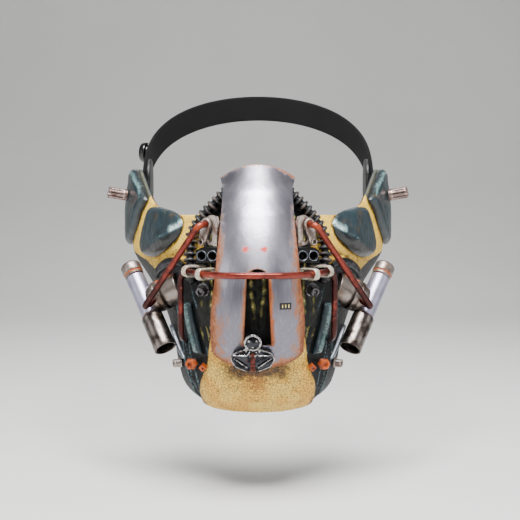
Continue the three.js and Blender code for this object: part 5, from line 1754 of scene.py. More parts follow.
@dataclass
class FrontPlate:
    """Curved steel plate with its slot, and the cast fitting low on it."""

    standoff: float = 15.0
    half_width: float = 27.0
    wall: float = 1.8
    crown: float = 10.0
    slot_half: float = 8.0
    slot_top: float = 0.3
    slot_foot: float = 0.61
    slot_crown: float = 0.8
    top_fall: tuple[float, float] = (0.052, 0.12)
    foot_rise: tuple[float, float] = (0.045, 0.07)
    casting_half: float = 13.0
    casting_depth: float = 6.0
    casting_place: tuple[float, float] = (-0.1, 0.645)
    label_place: tuple[float, float] = (0.6, 0.448)
    label_size: tuple[float, float] = (7.4, 3.9)

    def corner(self, across: Array, level: Array, lift: Array | float) -> Array:
        """Places points of the plate.

        Args:
            across: Share of the half width, from -1 to 1.
            level: Level down the face.
            lift: Distance out from the plate's back.

        Returns:
            One point for each place.
        """
        across, level, lift = np.broadcast_arrays(across, level, lift)
        top, bottom = PLATE_ROWS[0, 0], PLATE_ROWS[-1, 0]
        half = self.half_width * hermite(PLATE_ROWS, 1, level)
        middle = FACE.front(0.0, level, self.standoff * hermite(PLATE_ROWS, 2, level))
        fall, fall_band = self.top_fall
        rise, rise_band = self.foot_rise
        near_top = smoothstep(top + fall_band - level, 0, fall_band)
        near_foot = smoothstep(level - bottom + rise_band, 0, rise_band)
        drop = fall * near_top * across**2 - rise * near_foot * np.abs(across) ** 3
        lean = across * 2 * self.crown / half
        out = unit(np.stack([lean, -np.ones_like(lean), np.zeros_like(lean)], axis=-1))
        points = np.stack(
            [across * half, middle[..., 1] + self.crown * across**2, middle[..., 2] - drop * FACE.height],
            axis=-1
        )
        return points + out * lift[..., None]

    def slot_edge(self, level: Array) -> Array:
        """Returns the slot's half width at each level, 0 above it.

        Args:
            level: Levels down it.

        Returns:
            The half width, as a share of the plate's.
        """
        top = self.slot_top * FACE.height
        foot = self.slot_foot * FACE.height
        crown = self.slot_half * self.slot_crown
        depth = level * FACE.height - top
        arc = np.sqrt(np.clip(crown**2 - np.clip(crown - depth, 0, crown) ** 2, 0, None))
        run = np.clip((depth - crown) / (foot - top - crown), 0, 1)
        width = np.where(depth < crown, arc, crown + (self.slot_half - crown) * run)
        return np.where(depth <= 0, 0.0, width)

    def half_sheet(self, side: int) -> tuple[Array, dict[str, Array]]:
        """Lays out one half of the plate's front beside the slot.

        Args:
            side: 1 for the right half and -1 for the left.

        Returns:
            Points as rows by columns, and the attributes of the finish.
        """
        top, bottom = PLATE_ROWS[0, 0], PLATE_ROWS[-1, 0]
        crown = self.slot_half * self.slot_crown / FACE.height
        arc = self.slot_top + crown * (1 - np.cos(np.linspace(0, math.pi / 2, 14)))
        level = np.concatenate([
            top + 0.02 * np.linspace(0, 1, 5)[:-1] ** 1.5,
            np.linspace(top + 0.02, self.slot_top, 90)[:-1],
            arc,
            np.linspace(arc[-1], self.slot_foot, 70)[1:],
            self.slot_foot + (bottom - self.slot_foot) * np.concatenate([[0.001], np.linspace(0, 1, 26)[1:]]),
        ])
        open_at = np.where(level > self.slot_foot, 0.0, self.slot_edge(level))
        half = self.half_width * hermite(PLATE_ROWS, 1, level)
        share = np.linspace(0, 1, 48)
        inner = (open_at / half)[:, None]
        across = (inner + (1 - inner) * share[None]) * side
        levels = np.broadcast_to(level[:, None], across.shape)
        points = self.corner(across, levels, self.wall)
        return points, self.masks(points, across, levels, open_at[:, None])

    def masks(self, points: Array, across: Array, level: Array, open_at: Array) -> dict[str, Array]:
        """Says where the plate is rusted and marked, and where painted shade darkens it lower down.

        Args:
            points: Points of the sheet.
            across: Their shares of the half width.
            level: Their levels.
            open_at: Half width of the slot at each row.

        Returns:
            The attributes of the finish.
        """
        half = self.half_width * hermite(PLATE_ROWS, 1, level)
        from_side = half * (1 - np.abs(across))
        from_top = (level - PLATE_ROWS[0, 0]) * FACE.height
        from_foot = (PLATE_ROWS[-1, 0] - level) * FACE.height
        from_slot = np.where(open_at > 0, np.abs(points[..., 0]) - open_at, 99.0)
        above = np.abs(self.slot_top - level) * FACE.height + np.abs(points[..., 0])
        side_rust = np.exp(-from_side / 5.5) * (0.5 + 0.5 * smoothstep(level, 0.02, 0.22))
        rust = np.maximum.reduce([
            side_rust, 0.75 * np.exp(-from_top / 3.0), 0.85 * np.exp(-from_foot / 7.0),
            0.8 * np.exp(-from_slot / 3.0), 0.62 * np.exp(-above / 10.0),
            0.75 * np.exp(-from_side / 9.0) * smoothstep(level, 0.3, 0.5) * (across < 0),
        ])
        rust = np.clip(rust + 0.2 * smoothstep(level, 0.15, 0.5), 0, 1)
        right_leg = (across > 0) * smoothstep(from_slot, 5.5, 0.8) * smoothstep(level, 0.3, 0.36)
        corner = smoothstep(across, 0.3, 0.6) * np.exp(-from_top / 7.0) * smoothstep(level, 0.06,
            -0.02) * 0.95
        upper = np.exp(-from_side / 2.2) * 0.6 * smoothstep(level, 0.0, 0.1) * smoothstep(level, 0.32, 0.22)
        x, z = points[..., 0], points[..., 2]
        spots = np.zeros_like(x)
        for centre in (-7.1, 3.9):
            spots = np.maximum(spots, 1.1 - np.hypot((x - centre) / 2.6, (z + 33.7) / 2.0) * 0.55)
        between = smoothstep(np.abs(z + 33.7), 1.5, 0.4) * smoothstep(np.abs(x + 1.6), 5.0, 3.0)
        spots = np.maximum(spots, between * 0.62)
        # Painted shade: the steel turns darker grey lower down the plate
        low = smoothstep(level, 0.2, 0.42)
        return {
            "rust": rust, "orange": np.maximum.reduce([right_leg, corner, upper]),
            "mark": spots, "low": low,
        }

    def build(self) -> None:
        """Builds and dresses the plate and the casting."""
        halves = []
        for side in (1, -1):
            points, masks = self.half_sheet(side)
            halves.append(skin(f"plate_half_{side}", points, masks, wrap=False))
        piece = joined(halves, "centre_plate_made")
        tidy_mesh(piece, 60)
        self.face_forward(piece)
        thick = piece.modifiers.new("wall", "SOLIDIFY")
        thick.thickness, thick.offset = self.wall * MM, -1
        soft = piece.modifiers.new("edges", "BEVEL")
        soft.width, soft.segments, soft.limit_method = 0.4 * MM, 2, "ANGLE"
        soft.angle_limit = math.radians(50)
        only(piece)
        for change in ("wall", "edges"):
            bpy.ops.object.modifier_apply(modifier=change)
        bpy.ops.object.shade_smooth_by_angle(angle=math.radians(50))
        dress(piece, PLATE_STEEL, "centre_plate")
        self.build_label()
        self.build_casting()

    def build_label(self) -> None:
        """Builds the small dark sticker on the right leg, with plain pale bars and no text."""
        across, level = self.label_place
        width, height = self.label_size
        spots = self.corner(np.array([across, across + 0.01, across]),
                            np.array([level, level, level + 0.01]), self.wall)
        right, down = unit(spots[1] - spots[0]), unit(spots[2] - spots[0])
        out = unit(np.cross(down, right))
        turn = np.stack([right, np.cross(out, right), out], axis=1)

        def box(name: str, place: float, wide: float, high: float, depth: float,
                lift: float) -> bpy.types.Object:
            """Makes one flat box of the label, at a place across it.

            Args:
                name: Name of the box.
                place: Middle across the label.
                wide: Its width.
                high: Its height.
                depth: Its thickness.
                lift: Height of its back.

            Returns:
                The box.
            """
            loop = [(place - wide / 2, -high / 2), (place + wide / 2, -high / 2),
                    (place + wide / 2, high / 2), (place - wide / 2, high / 2)]
            return plate_solid(name, [loop], depth, spots[0] + out * lift, turn, 0.04)

        dress(box("plate_label", 0.0, width, height, 0.3, -0.1), LABEL_BLACK)
        bars = [box("label_bar", place * width, width * 0.1, height * 0.5, 0.12, 0.18)
                for place in (-0.28, 0.0, 0.28)]
        dress(joined(bars, "plate_label_bars"), LABEL_CREAM)

    def face_forward(self, piece: bpy.types.Object) -> None:
        """Turns an open sheet so that its faces look to -Y.

        Args:
            piece: The piece.
        """
        normals = sum(face.normal.y * face.area for face in piece.data.polygons)
        if normals > 0:
            piece.data.flip_normals()

    def build_casting(self) -> None:
        """Builds the cast fitting: fan-shaped body, bright ribs, collar and domed cap."""
        across, level = self.casting_place
        seat = self.corner(np.array(across), np.array(level), self.wall + 0.35)
        turn = facing([0, -1, -0.3])
        w, d = self.casting_half, self.casting_depth

        def at(x: float, y: float, z: float) -> Array:
            """Returns a point of the casting, from shares of its half width and depth."""
            return seat + turn @ np.array([x * w, y * w, z * d])

        fan = [(0.3, 0.42), (0.86, 0.2), (1, -0.12), (0.8, -0.5), (0.3, -0.72)]
        loop = [(x * w, y * w) for x, y in fan] + [(-x * w, y * w) for x, y in fan[::-1]]
        panes = [plate_solid("casting_body", [loop], d * 0.95, at(0, 0, -0.35), turn, 0.9)]
        for side in (-1, 1):
            for corners in (
                [(0.16, 0.06), (0.2, 0.3), (0.78, 0.12), (0.84, -0.04), (0.66, 0.02)],
                [(0.3, -0.5), (0.82, -0.16), (0.86, -0.2), (0.7, -0.44), (0.3, -0.62)],
            ):
                pane = [(side * x * w, y * w) for x, y in corners]
                panes.append(plate_solid("casting_pane", [pane], d * 0.2, at(0, 0, 0.56), turn, 0.3))
        dome = [(0, -0.5 * d), (0.34 * w, -0.5 * d), (0.39 * w, 0.4 * d), (0.3 * w, 0.62 * d),
                (0.16 * w, 0.76 * d), (0, 0.8 * d)]
        panes.append(lathe("casting_dome", rounded(dome, 0.8), 40, at(0, 0.74, 0.15), turn))
        dress(joined(panes, "valve_casting_made"), CAST_METAL, "valve_casting")
        bright = []
        edge = [(0.12, 0.4, 0.72), (0.34, 0.4, 0.7), (0.86, 0.2, 0.62), (1.0, -0.12, 0.56),
                (0.8, -0.5, 0.5), (0.28, -0.72, 0.5)]
        brace = [(0.14, 0.3, 0.78), (0.26, 0.1, 0.8), (0.9, 0.1, 0.66)]
        bar = [(0.24, -0.5, 0.76), (0.86, -0.04, 0.72)]
        for side in (-1, 1):
            for run, radius in ((edge, 0.36), (brace, 0.4), (bar, 0.44)):
                path = bent_wire([at(side * x, y, z) for x, y, z in run], 1.2, 0.4)
                bright.append(tube("casting_rib", path, radius, 10))
        rim = rounded([(0.3 * w, 0), (0.41 * w, 0), (0.41 * w, 0.9), (0.34 * w, 1.3), (0.3 * w, 0.9),
                       (0.3 * w, 0)], 0.3)
        bright.append(lathe("casting_rim", rim, 40, at(0, 0.74, 0.62), turn))
        collar = rounded([(0.26 * w, 0), (0.36 * w, 0), (0.36 * w, 1.0), (0.26 * w, 1.0), (0.26 * w, 0)], 0.3)
        bright.append(lathe("casting_collar", collar, 40, at(0, 0.36, 0.55), turn))
        stud = rounded([(0, 0), (0.075 * w, 0), (0.075 * w, 0.7), (0.04 * w, 1.0), (0, 1.05)], 0.25)
        for angle in (0.5, 2.6, 4.7):
            spot = at(0.18 * math.cos(angle), 0.74 + 0.18 * math.sin(angle), 0.72)
            bright.append(lathe("casting_stud", stud, 16, spot, turn))
        dress(joined(bright, "valve_casting_ribs"), CAST_BRIGHT)
        stack = []
        for number, y in enumerate((0.12, -0.06, -0.24, -0.42, -0.6)):
            ring = rounded([(0, 0), (0.13 * w, 0), (0.13 * w, 1.1), (0.08 * w, 1.5), (0, 1.5)], 0.3)
            stack.append(lathe(f"casting_stack_{number}", ring, 28, at(0, y, 0.5), turn))
        dress(joined(stack, "valve_casting_stack"), CAST_COPPER)


GUARD_PLACES = np.array(
    [
        # across, level, proud
        [0.0, 0.325, 1.1],
        [0.2, 0.326, 1.36],
        [0.392, 0.327, 1.45],
        [0.513, 0.317, 1.5],
        [0.54, 0.35, 1.45],
        [0.54, 0.595, 1.2],
    ]
)
HOSE_PLACES = np.array(
    [
        # around, level, lift
        [0.115, 0.01, 1.2],
        [0.145, 0.035, 1.15],
        [0.18, 0.07, 1.15],
        [0.215, 0.1, 1.15],
        [0.25, 0.14, 1.15],
        [0.275, 0.185, 1.15],
        [0.28, 0.235, 1.15],
        [0.28, 0.285, 1.15],
        [0.275, 0.33, 1.15],
        [0.265, 0.375, 1.15],
    ]
)


@dataclass
class Canisters:
    """Canisters beside the jaw with the bosses that carry them."""

    radius: float = 6.3
    length: float = 67.0
    cup_radius: float = 7.4
    cup_wall: float = 1.2
    cap_radius: float = 6.8
    boss_radius: float = 10.0
    cap_share: float = 0.15
    tube_share: float = 0.62
    boss_meets: float = 0.46
    foot: tuple[float, float, float] = (0.675, 0.665, 0.69)
    head: tuple[float, float, float] = (0.98, 0.32, 0.44)
    boss_seat: tuple[float, float] = (0.43, 0.405)

    def end(self, place: tuple[float, float, float]) -> Array:
        """Returns a place given across, down and back."""
        return np.array([place[0] * FACE.half_width, -place[2] * FACE.reach, -place[1] * FACE.height])

    @property
    def axis(self) -> Array:
        """Direction from the cap to the open end."""
        return unit(self.end(self.foot) - self.end(self.head))

    @property
    def top(self) -> Array:
        """Middle of the cap's end."""
        return self.end(self.foot) - self.axis * self.length

    def boss_frame(self) -> tuple[Array, float, Array]:
        """Returns the boss's seat, the length from it to the canister's axis, and its frame.

        Returns:
            Seat, length and frame.
        """
        meets = self.top + self.axis * self.boss_meets * self.length
        seat = FACE.point(np.array([self.boss_seat[0]]), np.array([self.boss_seat[1]]), -3.0)[0]
        way = meets - seat
        return seat, float(np.linalg.norm(way)), facing(way)

    def build(self) -> None:
        """Builds and dresses the canisters and the bosses."""
        turn = facing(self.axis)
        end = self.cap_share * self.length - 0.3
        r = self.cap_radius
        cap = rounded([(0, 0.6), (r * 0.55, 0.6), (r * 0.6, 0), (r * 0.86, 0), (r, end * 0.14),
                       (r, end * 0.7),
                       (r * 0.9, end * 0.74), (r * 0.9, end * 0.8), (r * 0.96, end * 0.84), (r * 0.93, end),
                       (0, end)], 0.4)
        piece = lathe("canister_cap_made", cap, 48, self.top, turn)
        local = self.locals(piece, self.top, turn)
        self.mark(piece, "orange", (np.abs(local[:, 2] - end * 0.77) < end * 0.06).astype(float))
        dress_pair(piece, CAP_BRONZE, "canister_cap")
        start, stop = self.cap_share * self.length, self.tube_share * self.length - 0.3
        r = self.radius
        body = [(0, start), (r - 0.5, start), (r, start + 0.6)]
        body += [(r, start + 0.6 + (stop - start - 1.2) * k / 12) for k in range(1, 12)]
        body += [(r, stop - 0.6), (r - 0.5, stop), (0, stop)]
        dress_pair(lathe("canister_tube_made", body, 56, self.top, turn), CANISTER_METAL, "canister_tube")
        self.build_cup(turn)
        self.build_boss(turn)

    def build_cup(self, turn: Array) -> None:
        """Builds the open cup with its lip, and painted shade down its bore.

        Args:
            turn: Frame of the piece, as columns.
        """
        start = self.tube_share * self.length
        shoulder = start + self.cup_radius - self.radius
        r, inner = self.cup_radius, self.cup_radius - self.cup_wall
        profile = rounded(
            [(0, start), (self.radius, start), (r * 0.985, shoulder), (r * 0.985, self.length - 4.2),
             (r, self.length - 3.8), (r, self.length), (inner, self.length),
             (inner, shoulder + self.cup_wall),
             (0, shoulder + self.cup_wall)], 0.35)
        piece = lathe("canister_cup_made", profile, 56, self.top, turn)
        local = self.locals(piece, self.top, turn)
        # Painted shade: the inner wall of the bore is marked to be painted black
        deep = (np.hypot(local[:, 0], local[:, 1]) < inner + 0.2) & (local[:, 2] > shoulder + 0.8)
        self.mark(piece, "bore_shade", (deep & (local[:, 2] < self.length - 1.2)).astype(float))
        dress_pair(piece, CUP_METAL, "canister_cup")

    def locals(self, piece: bpy.types.Object, place: Array, turn: Array) -> Array:
        """Returns a piece's points in a local frame, in millimetres.

        Args:
            piece: The piece.
            place: Origin of the local frame.
            turn: Frame of the piece, as columns.

        Returns:
            The points.
        """
        points = np.empty(len(piece.data.vertices) * 3)
        piece.data.vertices.foreach_get("co", points)
        return (points.reshape(-1, 3) / MM - place) @ turn

    def mark(self, piece: bpy.types.Object, name: str, value: Array) -> None:
        """Writes one named value for each point of a piece."""
        layer = piece.data.attributes.new(name, "FLOAT", "POINT")
        layer.data.foreach_set("value", value.astype(np.float32))

    def inside_face(self) -> bpy.types.Object:
        """Builds a block of the room inside the cheek, so that the boss ends in the shell's wall.

        Returns:
            The block.
        """
        around = np.linspace(self.boss_seat[0] - 0.17, self.boss_seat[0] + 0.2, 30)
        level = np.linspace(self.boss_seat[1] - 0.14, self.boss_seat[1] + 0.14, 24)
        front = FACE.point(*np.meshgrid(around, level, indexing="ij"), -1.2)
        back = FACE.point(*np.meshgrid(around, level[::-1], indexing="ij"), -15.0)
        rings = np.concatenate([front, back], axis=1)
        ends = [rings[k].mean(axis=0) + 0 * rings[k] for k in (0, -1)]
        return skin("boss_room", np.concatenate([ends[0][None], rings, ends[1][None]]))

    def build_boss(self, turn: Array) -> None:
        """Builds the round boss, saddled round the canister.

        Args:
            turn: Frame of the piece, as columns.
        """
        seat, length, boss_turn = self.boss_frame()
        r = self.boss_radius
        profile = rounded(
            [(0, 0), (r, 0), (r, length * 0.37), (r * 0.93, length * 0.4), (r * 0.93, length * 0.43),
             (r * 1.04, length * 0.46), (r * 1.04, length * 0.55), (r * 0.985, length * 0.56),
             (r * 0.985, length * 0.585), (r * 1.04, length * 0.595), (r * 1.04, length * 0.66),
             (r * 0.97, length * 0.74), (r * 0.85, length * 0.83), (0, length * 0.83)], 0.5, 4)
        boss = lathe("filter_boss_made", profile, 72, seat, boss_turn)
        reach = self.length
        room = [(0, -reach * 0.2), (self.radius + 0.35, -reach * 0.2), (self.radius + 0.35, reach * 1.2),
                (0, reach * 1.2)]
        cutter = lathe("canister_room", room, 48, self.top, turn)
        subtract(boss, cutter)
        subtract(boss, self.inside_face())
        only(boss)
        bpy.ops.object.shade_smooth_by_angle(angle=math.radians(32))
        local = self.locals(boss, seat, boss_turn)
        # Painted shade in the groove and on the underside of the boss
        groove = np.exp(-(((local[:, 2] - length * 0.43) / 0.9) ** 2))
        below = smoothstep(-local[:, 1], r * 0.2, r * 0.9)
        self.mark(boss, "grime_and_shade", np.clip(np.maximum(groove, below * 0.7), 0, 1))
        patch = np.hypot(local[:, 0] + r * 0.3, local[:, 1] - r * 0.85) + np.abs(local[:, 2] - length
            * 0.3) * 0.5
        self.mark(boss, "orange", np.clip(1.35 - patch / 6.5, 0, 1))
        dress_pair(boss, BOSS_METAL, "filter_boss")
        dot = [(0, 0), (1.5, 0), (1.5, 0.7), (1.0, 1.0), (0, 1.0)]
        local = np.array([r * 0.72, -r * 0.72, length * 0.6])
        place = seat + boss_turn @ local
        dot_piece = lathe("boss_rivet_made", rounded(dot, 0.25), 24, place,
                          facing(boss_turn @ np.array([1.0, -1.0, 0.1])))
        dress_pair(dot_piece, BOSS_METAL, "")


FITTING_DIRECTION = unit([0.62, -0.76, -0.12])


@dataclass
class Fittings:
    """Brackets, links and ports beside the plate."""

    standoff: float = 20.0
    bracket_length: float = 19.0
    bracket_width: float = 8.4
    bracket_depth: float = 2.6
    bracket_place: tuple[float, float, float] = (0.305, 0.153, 0.8)
    bracket_tilt: float = 0.08
    link_length: float = 11.6
    link_eye: float = 7.6
    link_depth: float = 2.0
    link_hole: float = 2.6
    link_tilt: float = 0.38
    rod_radius: float = 2.0
    eye_place: tuple[float, float] = (0.28, 0.22)
    port_size: tuple[float, float, float] = (14.5, 9.6, 13.0)
    port_bore: float = 4.4
    port_place: tuple[float, float, float] = (0.35, 0.253, 1.25)

    def turn(self, tilt: float) -> Array:
        """Returns the frame of a fitting, tilted in its own plane."""
        return facing(FITTING_DIRECTION) @ turned_about_z(tilt)

    def centre(self) -> Array:
        """Returns the middle of the bracket's back."""
        across, level, proud = self.bracket_place
        return FACE.front(np.array(across), np.array(level), proud * self.standoff)

    def eye(self, height: float) -> Array:
        """Returns the middle of the link's large eye, at a height above the bracket's back."""
        local = np.array([self.bracket_width * self.eye_place[0], self.bracket_length * self.eye_place[1],
                          height])
        return self.centre() + self.turn(self.bracket_tilt) @ local

    def build(self) -> None:
        """Builds and dresses the brackets, links and ports."""
        radius, run = self.bracket_width / 2, self.bracket_length - self.bracket_width
        turn = self.turn(self.bracket_tilt)
        low, high = -run / 2, run / 2
        outline = [(radius * math.cos(a), high + radius * math.sin(a))
                   for a in np.linspace(0, math.pi / 2, 8)]
        outline += [(-radius, high + radius * 0.85), (-radius * 1.2, high), (-radius * 1.05, low - radius)]
        outline += [(radius * math.cos(a), low + radius * math.sin(a))
                    for a in np.linspace(1.5 * math.pi, 2 * math.pi, 8)]
        slot = [(x + radius * 0.28, y) for x, y in slot_points(radius * 0.42, run, low)]
        face = plate_solid("plate_bracket_made", [outline, slot[::-1]], self.bracket_depth, self.centre(),
                           turn, 0.5)
        depth = (self.bracket_length - self.bracket_depth) * 0.78
        leg_centre = self.centre() + turn @ np.array([-radius * 0.6, 0, -depth])
        leg = plate_solid("bracket_leg",
                          [[(-1.7, -run / 2), (1.7, -run / 2), (1.7, run / 2), (-1.7, run / 2)]],
                          depth, leg_centre, turn, 0.3)
        lug_turn = facing([0, -1, 0.12])
        lug_place = FrontPlate().corner(np.array(0.86), np.array(0.16), -self.bracket_length * 0.52)
        w, h = self.bracket_width / 2, self.bracket_length / 2
        lug = plate_solid("bracket_lug", [[(-w, -h), (w, -h), (w, h * 0.7), (w * 0.5, h), (-w, h)]],
                          radius * 1.1, lug_place, lug_turn, 0.5)
        dress_pair(joined([face, leg, lug], "plate_bracket_made"), SILVER_METAL, "plate_bracket")
        self.build_link()
        self.build_port()

    def build_link(self) -> None:
        """Builds the link: a large eye, a small one and two raised collars."""
        big, small = self.link_eye / 2, self.link_hole
        outline = [(big * math.cos(a), big * math.sin(a)) for a in np.linspace(0, math.pi, 18)]
        outline += [(small * math.cos(a), -self.link_length + small * math.sin(a))
                    for a in np.linspace(math.pi, 2 * math.pi, 16)]
        holes = [ring_points(self.rod_radius + 0.3, 24)[::-1],
                 ring_points(self.link_hole / 2, 20, (0, -self.link_length))[::-1]]
        place, turn = self.eye(self.bracket_depth + 0.3), self.turn(self.link_tilt)
        plate = plate_solid("link_made", [outline, *holes], self.link_depth, place, turn, 0.45)
        collar = rounded([(1.3, 0), (2.3, 0), (2.3, 1.1), (1.3, 1.1), (1.3, 0)], 0.3)
        low = place + turn @ np.array([0, -self.link_length, self.link_depth - 0.1])
        dress_pair(joined([plate, lathe("link_collar", collar, 28, low, turn)], "link_made"), SILVER_METAL,
                   "link")

    def build_port(self) -> None:
        """Builds the port block with two ringed sockets."""
        width, height, depth = self.port_size
        w, h = width / 2, height / 2
        outline = [(-w, -h), (w, -h), (w, h * 0.6), (w * 0.4, h), (-w, h)]
        centres = [(side * w * 0.48, -h * 0.1) for side in (-1, 1)]
        holes = [ring_points(self.port_bore / 2, 28, centre)[::-1] for centre in centres]
        across, level, proud = self.port_place
        front = FACE.front(np.array(across), np.array(level), proud * depth)
        turn = facing([0.3, -1, 0])
        back = front - turn[:, 2] * depth
        dress_pair(plate_solid("port_block_made", [outline, *holes], depth, back, turn, 0.4), PORT_PLASTIC,
                   "port_block")
        rings = []
        for number, (x, y) in enumerate(centres):
            ring = rounded([(2.85, 0), (3.2, 0), (3.2, 0.45), (2.85, 0.45), (2.85, 0)], 0.12)
            rings.append(lathe(f"port_ring_{number}", ring, 36, front + turn @ np.array([x, y, -0.1]), turn))
        dress_pair(joined(rings, "port_rings_made"), STRIP_METAL, "")


@dataclass
class Rods:
    """Guard rod with its clamps and nuts, and the rods over the cheeks."""

    guard_radius: float = 1.9
    guard_standoff: float = 20.0
    guard_bend: float = 7.0
    guard_end: tuple[float, float] = (0.345, 0.628)
    cheek_radius: float = 2.0
    cheek_bend: float = 5.0
    clamp_wall: float = 1.4
    clamp_width: float = 3.6
    clamp_run: float = 15.0
    nut_size: float = 6.6
    fittings: Fittings = field(default_factory=Fittings)
    canisters: Canisters = field(default_factory=Canisters)

    def guard_corner(self, row: int) -> Array:
        """Returns one corner of the guard rod's right half."""
        across, level, proud = GUARD_PLACES[row]
        return FACE.front(np.array(across), np.array(level), proud * self.guard_standoff)

    def build(self) -> None:
        """Builds and dresses the rods, clamps and nuts."""
        half = [self.guard_corner(row) for row in range(len(GUARD_PLACES))]
        end = np.array(self.guard_end)
        half.append(FACE.point(end[:1], end[1:])[0])
        path = bent_wire([p * MIRROR for p in half[:0:-1]] + half, self.guard_bend, 0.9)
        guard = tube("guard_rod_made", path, self.guard_radius)
        self.mark_near(guard, "orange", [half[2], half[2] * MIRROR], 5.0, 0.2)
        # Grime and painted shade darken the guard's legs
        low = [half[5], half[5] * MIRROR, half[6], half[6] * MIRROR, half[4], half[4] * MIRROR]
        self.mark_near(guard, "grime_and_shade", low, 22.0, 0.1)
        dress(guard, COPPER_RED, "guard_rod")
        for name, first, share, run in (("clamp_inner", 1, 0.97, 0.62), ("clamp_outer", 2, 0.78, 1.0)):
            self.build_clamp(name, first, share, run)
        self.build_nut()
        self.build_cheek_rod()

    def mark_near(self, piece: bpy.types.Object, name: str, places: Sequence[Array], reach: float,
                  base: float) -> None:
        """Marks where a rod is rubbed, or darkened by grime and painted shade, near some places.

        Args:
            piece: The rod.
            name: Name of the attribute.
            places: Middles of the marks.
            reach: How far each mark reaches.
            base: Value away from them.
        """
        layer = piece.data.attributes.new(name, "FLOAT", "POINT")
        points = np.empty(len(piece.data.vertices) * 3)
        piece.data.vertices.foreach_get("co", points)
        points = points.reshape(-1, 3) / MM
        near = np.min([np.linalg.norm(points - place, axis=1) for place in places], axis=0)
        layer.data.foreach_set("value",
                               np.clip(base + np.exp(-((near / reach) ** 2)), 0, 1).astype(np.float32))

    def build_clamp(self, name: str, first: int, share: float, run: float) -> None:
        """Builds one strap that loops round the guard rod and runs back.

        Args:
            name: Name of the clamp.
            first: Row of the guard rod that it follows from.
            share: Share of the way to the next row.
            run: How far the strap runs back, as a share of the clamp's run.
        """
        start, end = self.guard_corner(first), self.guard_corner(first + 1)
        along = unit(end - start)
        inward = unit([-along[1], along[0], 0])
        turn = np.stack([np.cross(inward, along), inward, along], axis=1)
        inner = self.guard_radius + 0.3
        length = run * self.clamp_run
        loops = [slot_points(inner + self.clamp_wall, length, sides=20),
                 slot_points(inner, length, sides=20)[::-1]]
        place = start + (end - start) * share - along * self.clamp_width / 2
        piece = plate_solid(f"{name}_made", loops, self.clamp_width, place, turn, 0.55)
        dress_pair(piece, CLAMP_PAINT, name)

    def build_nut(self) -> None:
        """Builds the six-sided nut below the inner clamp, with a round washer."""
        place = FACE.point(np.array([0.2]), np.array([0.38]), 0.0)[0]
        turn = facing([0.35, -1, -0.2])
        r = self.nut_size / 2
        nut = lathe("clamp_nut_made", rounded([(0, 8), (r, 8), (r, 17.2), (r * 0.86, 18), (r * 0.5, 18),
                                               (r * 0.5, 16.6), (0, 16.6)], 0.3), 6, place, turn)
        washer = lathe("nut_washer", rounded([(0, 11.6), (r * 1.25, 11.6), (r * 1.25, 12.6), (0, 12.6)],
                                             0.2), 32, place, turn)
        dress_pair(joined([nut, washer], "clamp_nut_made"), GRIMY_METAL, "clamp_nut")

    def build_cheek_rod(self) -> None:
        """Builds the rod from the link's eye over the cheek, with a hairpin into the boss."""
        eye = self.fittings.eye(self.fittings.bracket_depth + 0.3)
        out = eye + FITTING_DIRECTION * self.cheek_radius * 4
        cans = self.canisters
        corner = cans.top + cans.axis * 0.505 * cans.length
        corner = corner + np.array([0.15 * cans.radius, -2.7 * cans.radius, 0])
        seat, length, turn = cans.boss_frame()
        end = seat + turn[:, 2] * 0.62 * length
        end[1] -= 0.6 * cans.boss_radius
        path = bent_wire([eye, out, corner, end], self.cheek_bend, 0.8)
        rod = tube("cheek_rod_made", path, self.cheek_radius)
        self.mark_near(rod, "orange", [eye, out, end], 6.0, 0.1)
        # Grime and painted shade darken the cheek rod, most at its bend
        self.mark_near(rod, "grime_and_shade", [corner], 22.0, 0.35)
        dress_pair(rod, COPPER_RED, "cheek_rod")


@dataclass
class Hoses:
    """Corrugated hoses from behind the plate down to the jaw."""

    radius: float = 4.2
    groove: float = 1.7
    ridges: int = 17
    per_ridge: int = 14

    def build(self) -> None:
        """Builds and dresses the hoses."""
        places = HOSE_PLACES
        lifted = FACE.point(places[:, 0], places[:, 1], places[:, 2] * self.radius)
        path = evenly(smooth_curve(lifted, False, 20), self.ridges * self.per_ridge)
        phase = np.arange(len(path)) / self.per_ridge * 2 * math.pi
        wave = 0.5 + 0.5 * np.tanh(np.sin(phase) * 2.2) / math.tanh(2.2)
        radii = self.radius - self.groove * (1 - wave)
        # The crest mask carries the ribs' painted highlight and dust
        hose = tube("hose_made", path, radii, 28, ("crest", wave * 0.85))
        dress_pair(hose, HOSE_RUBBER, "hose")


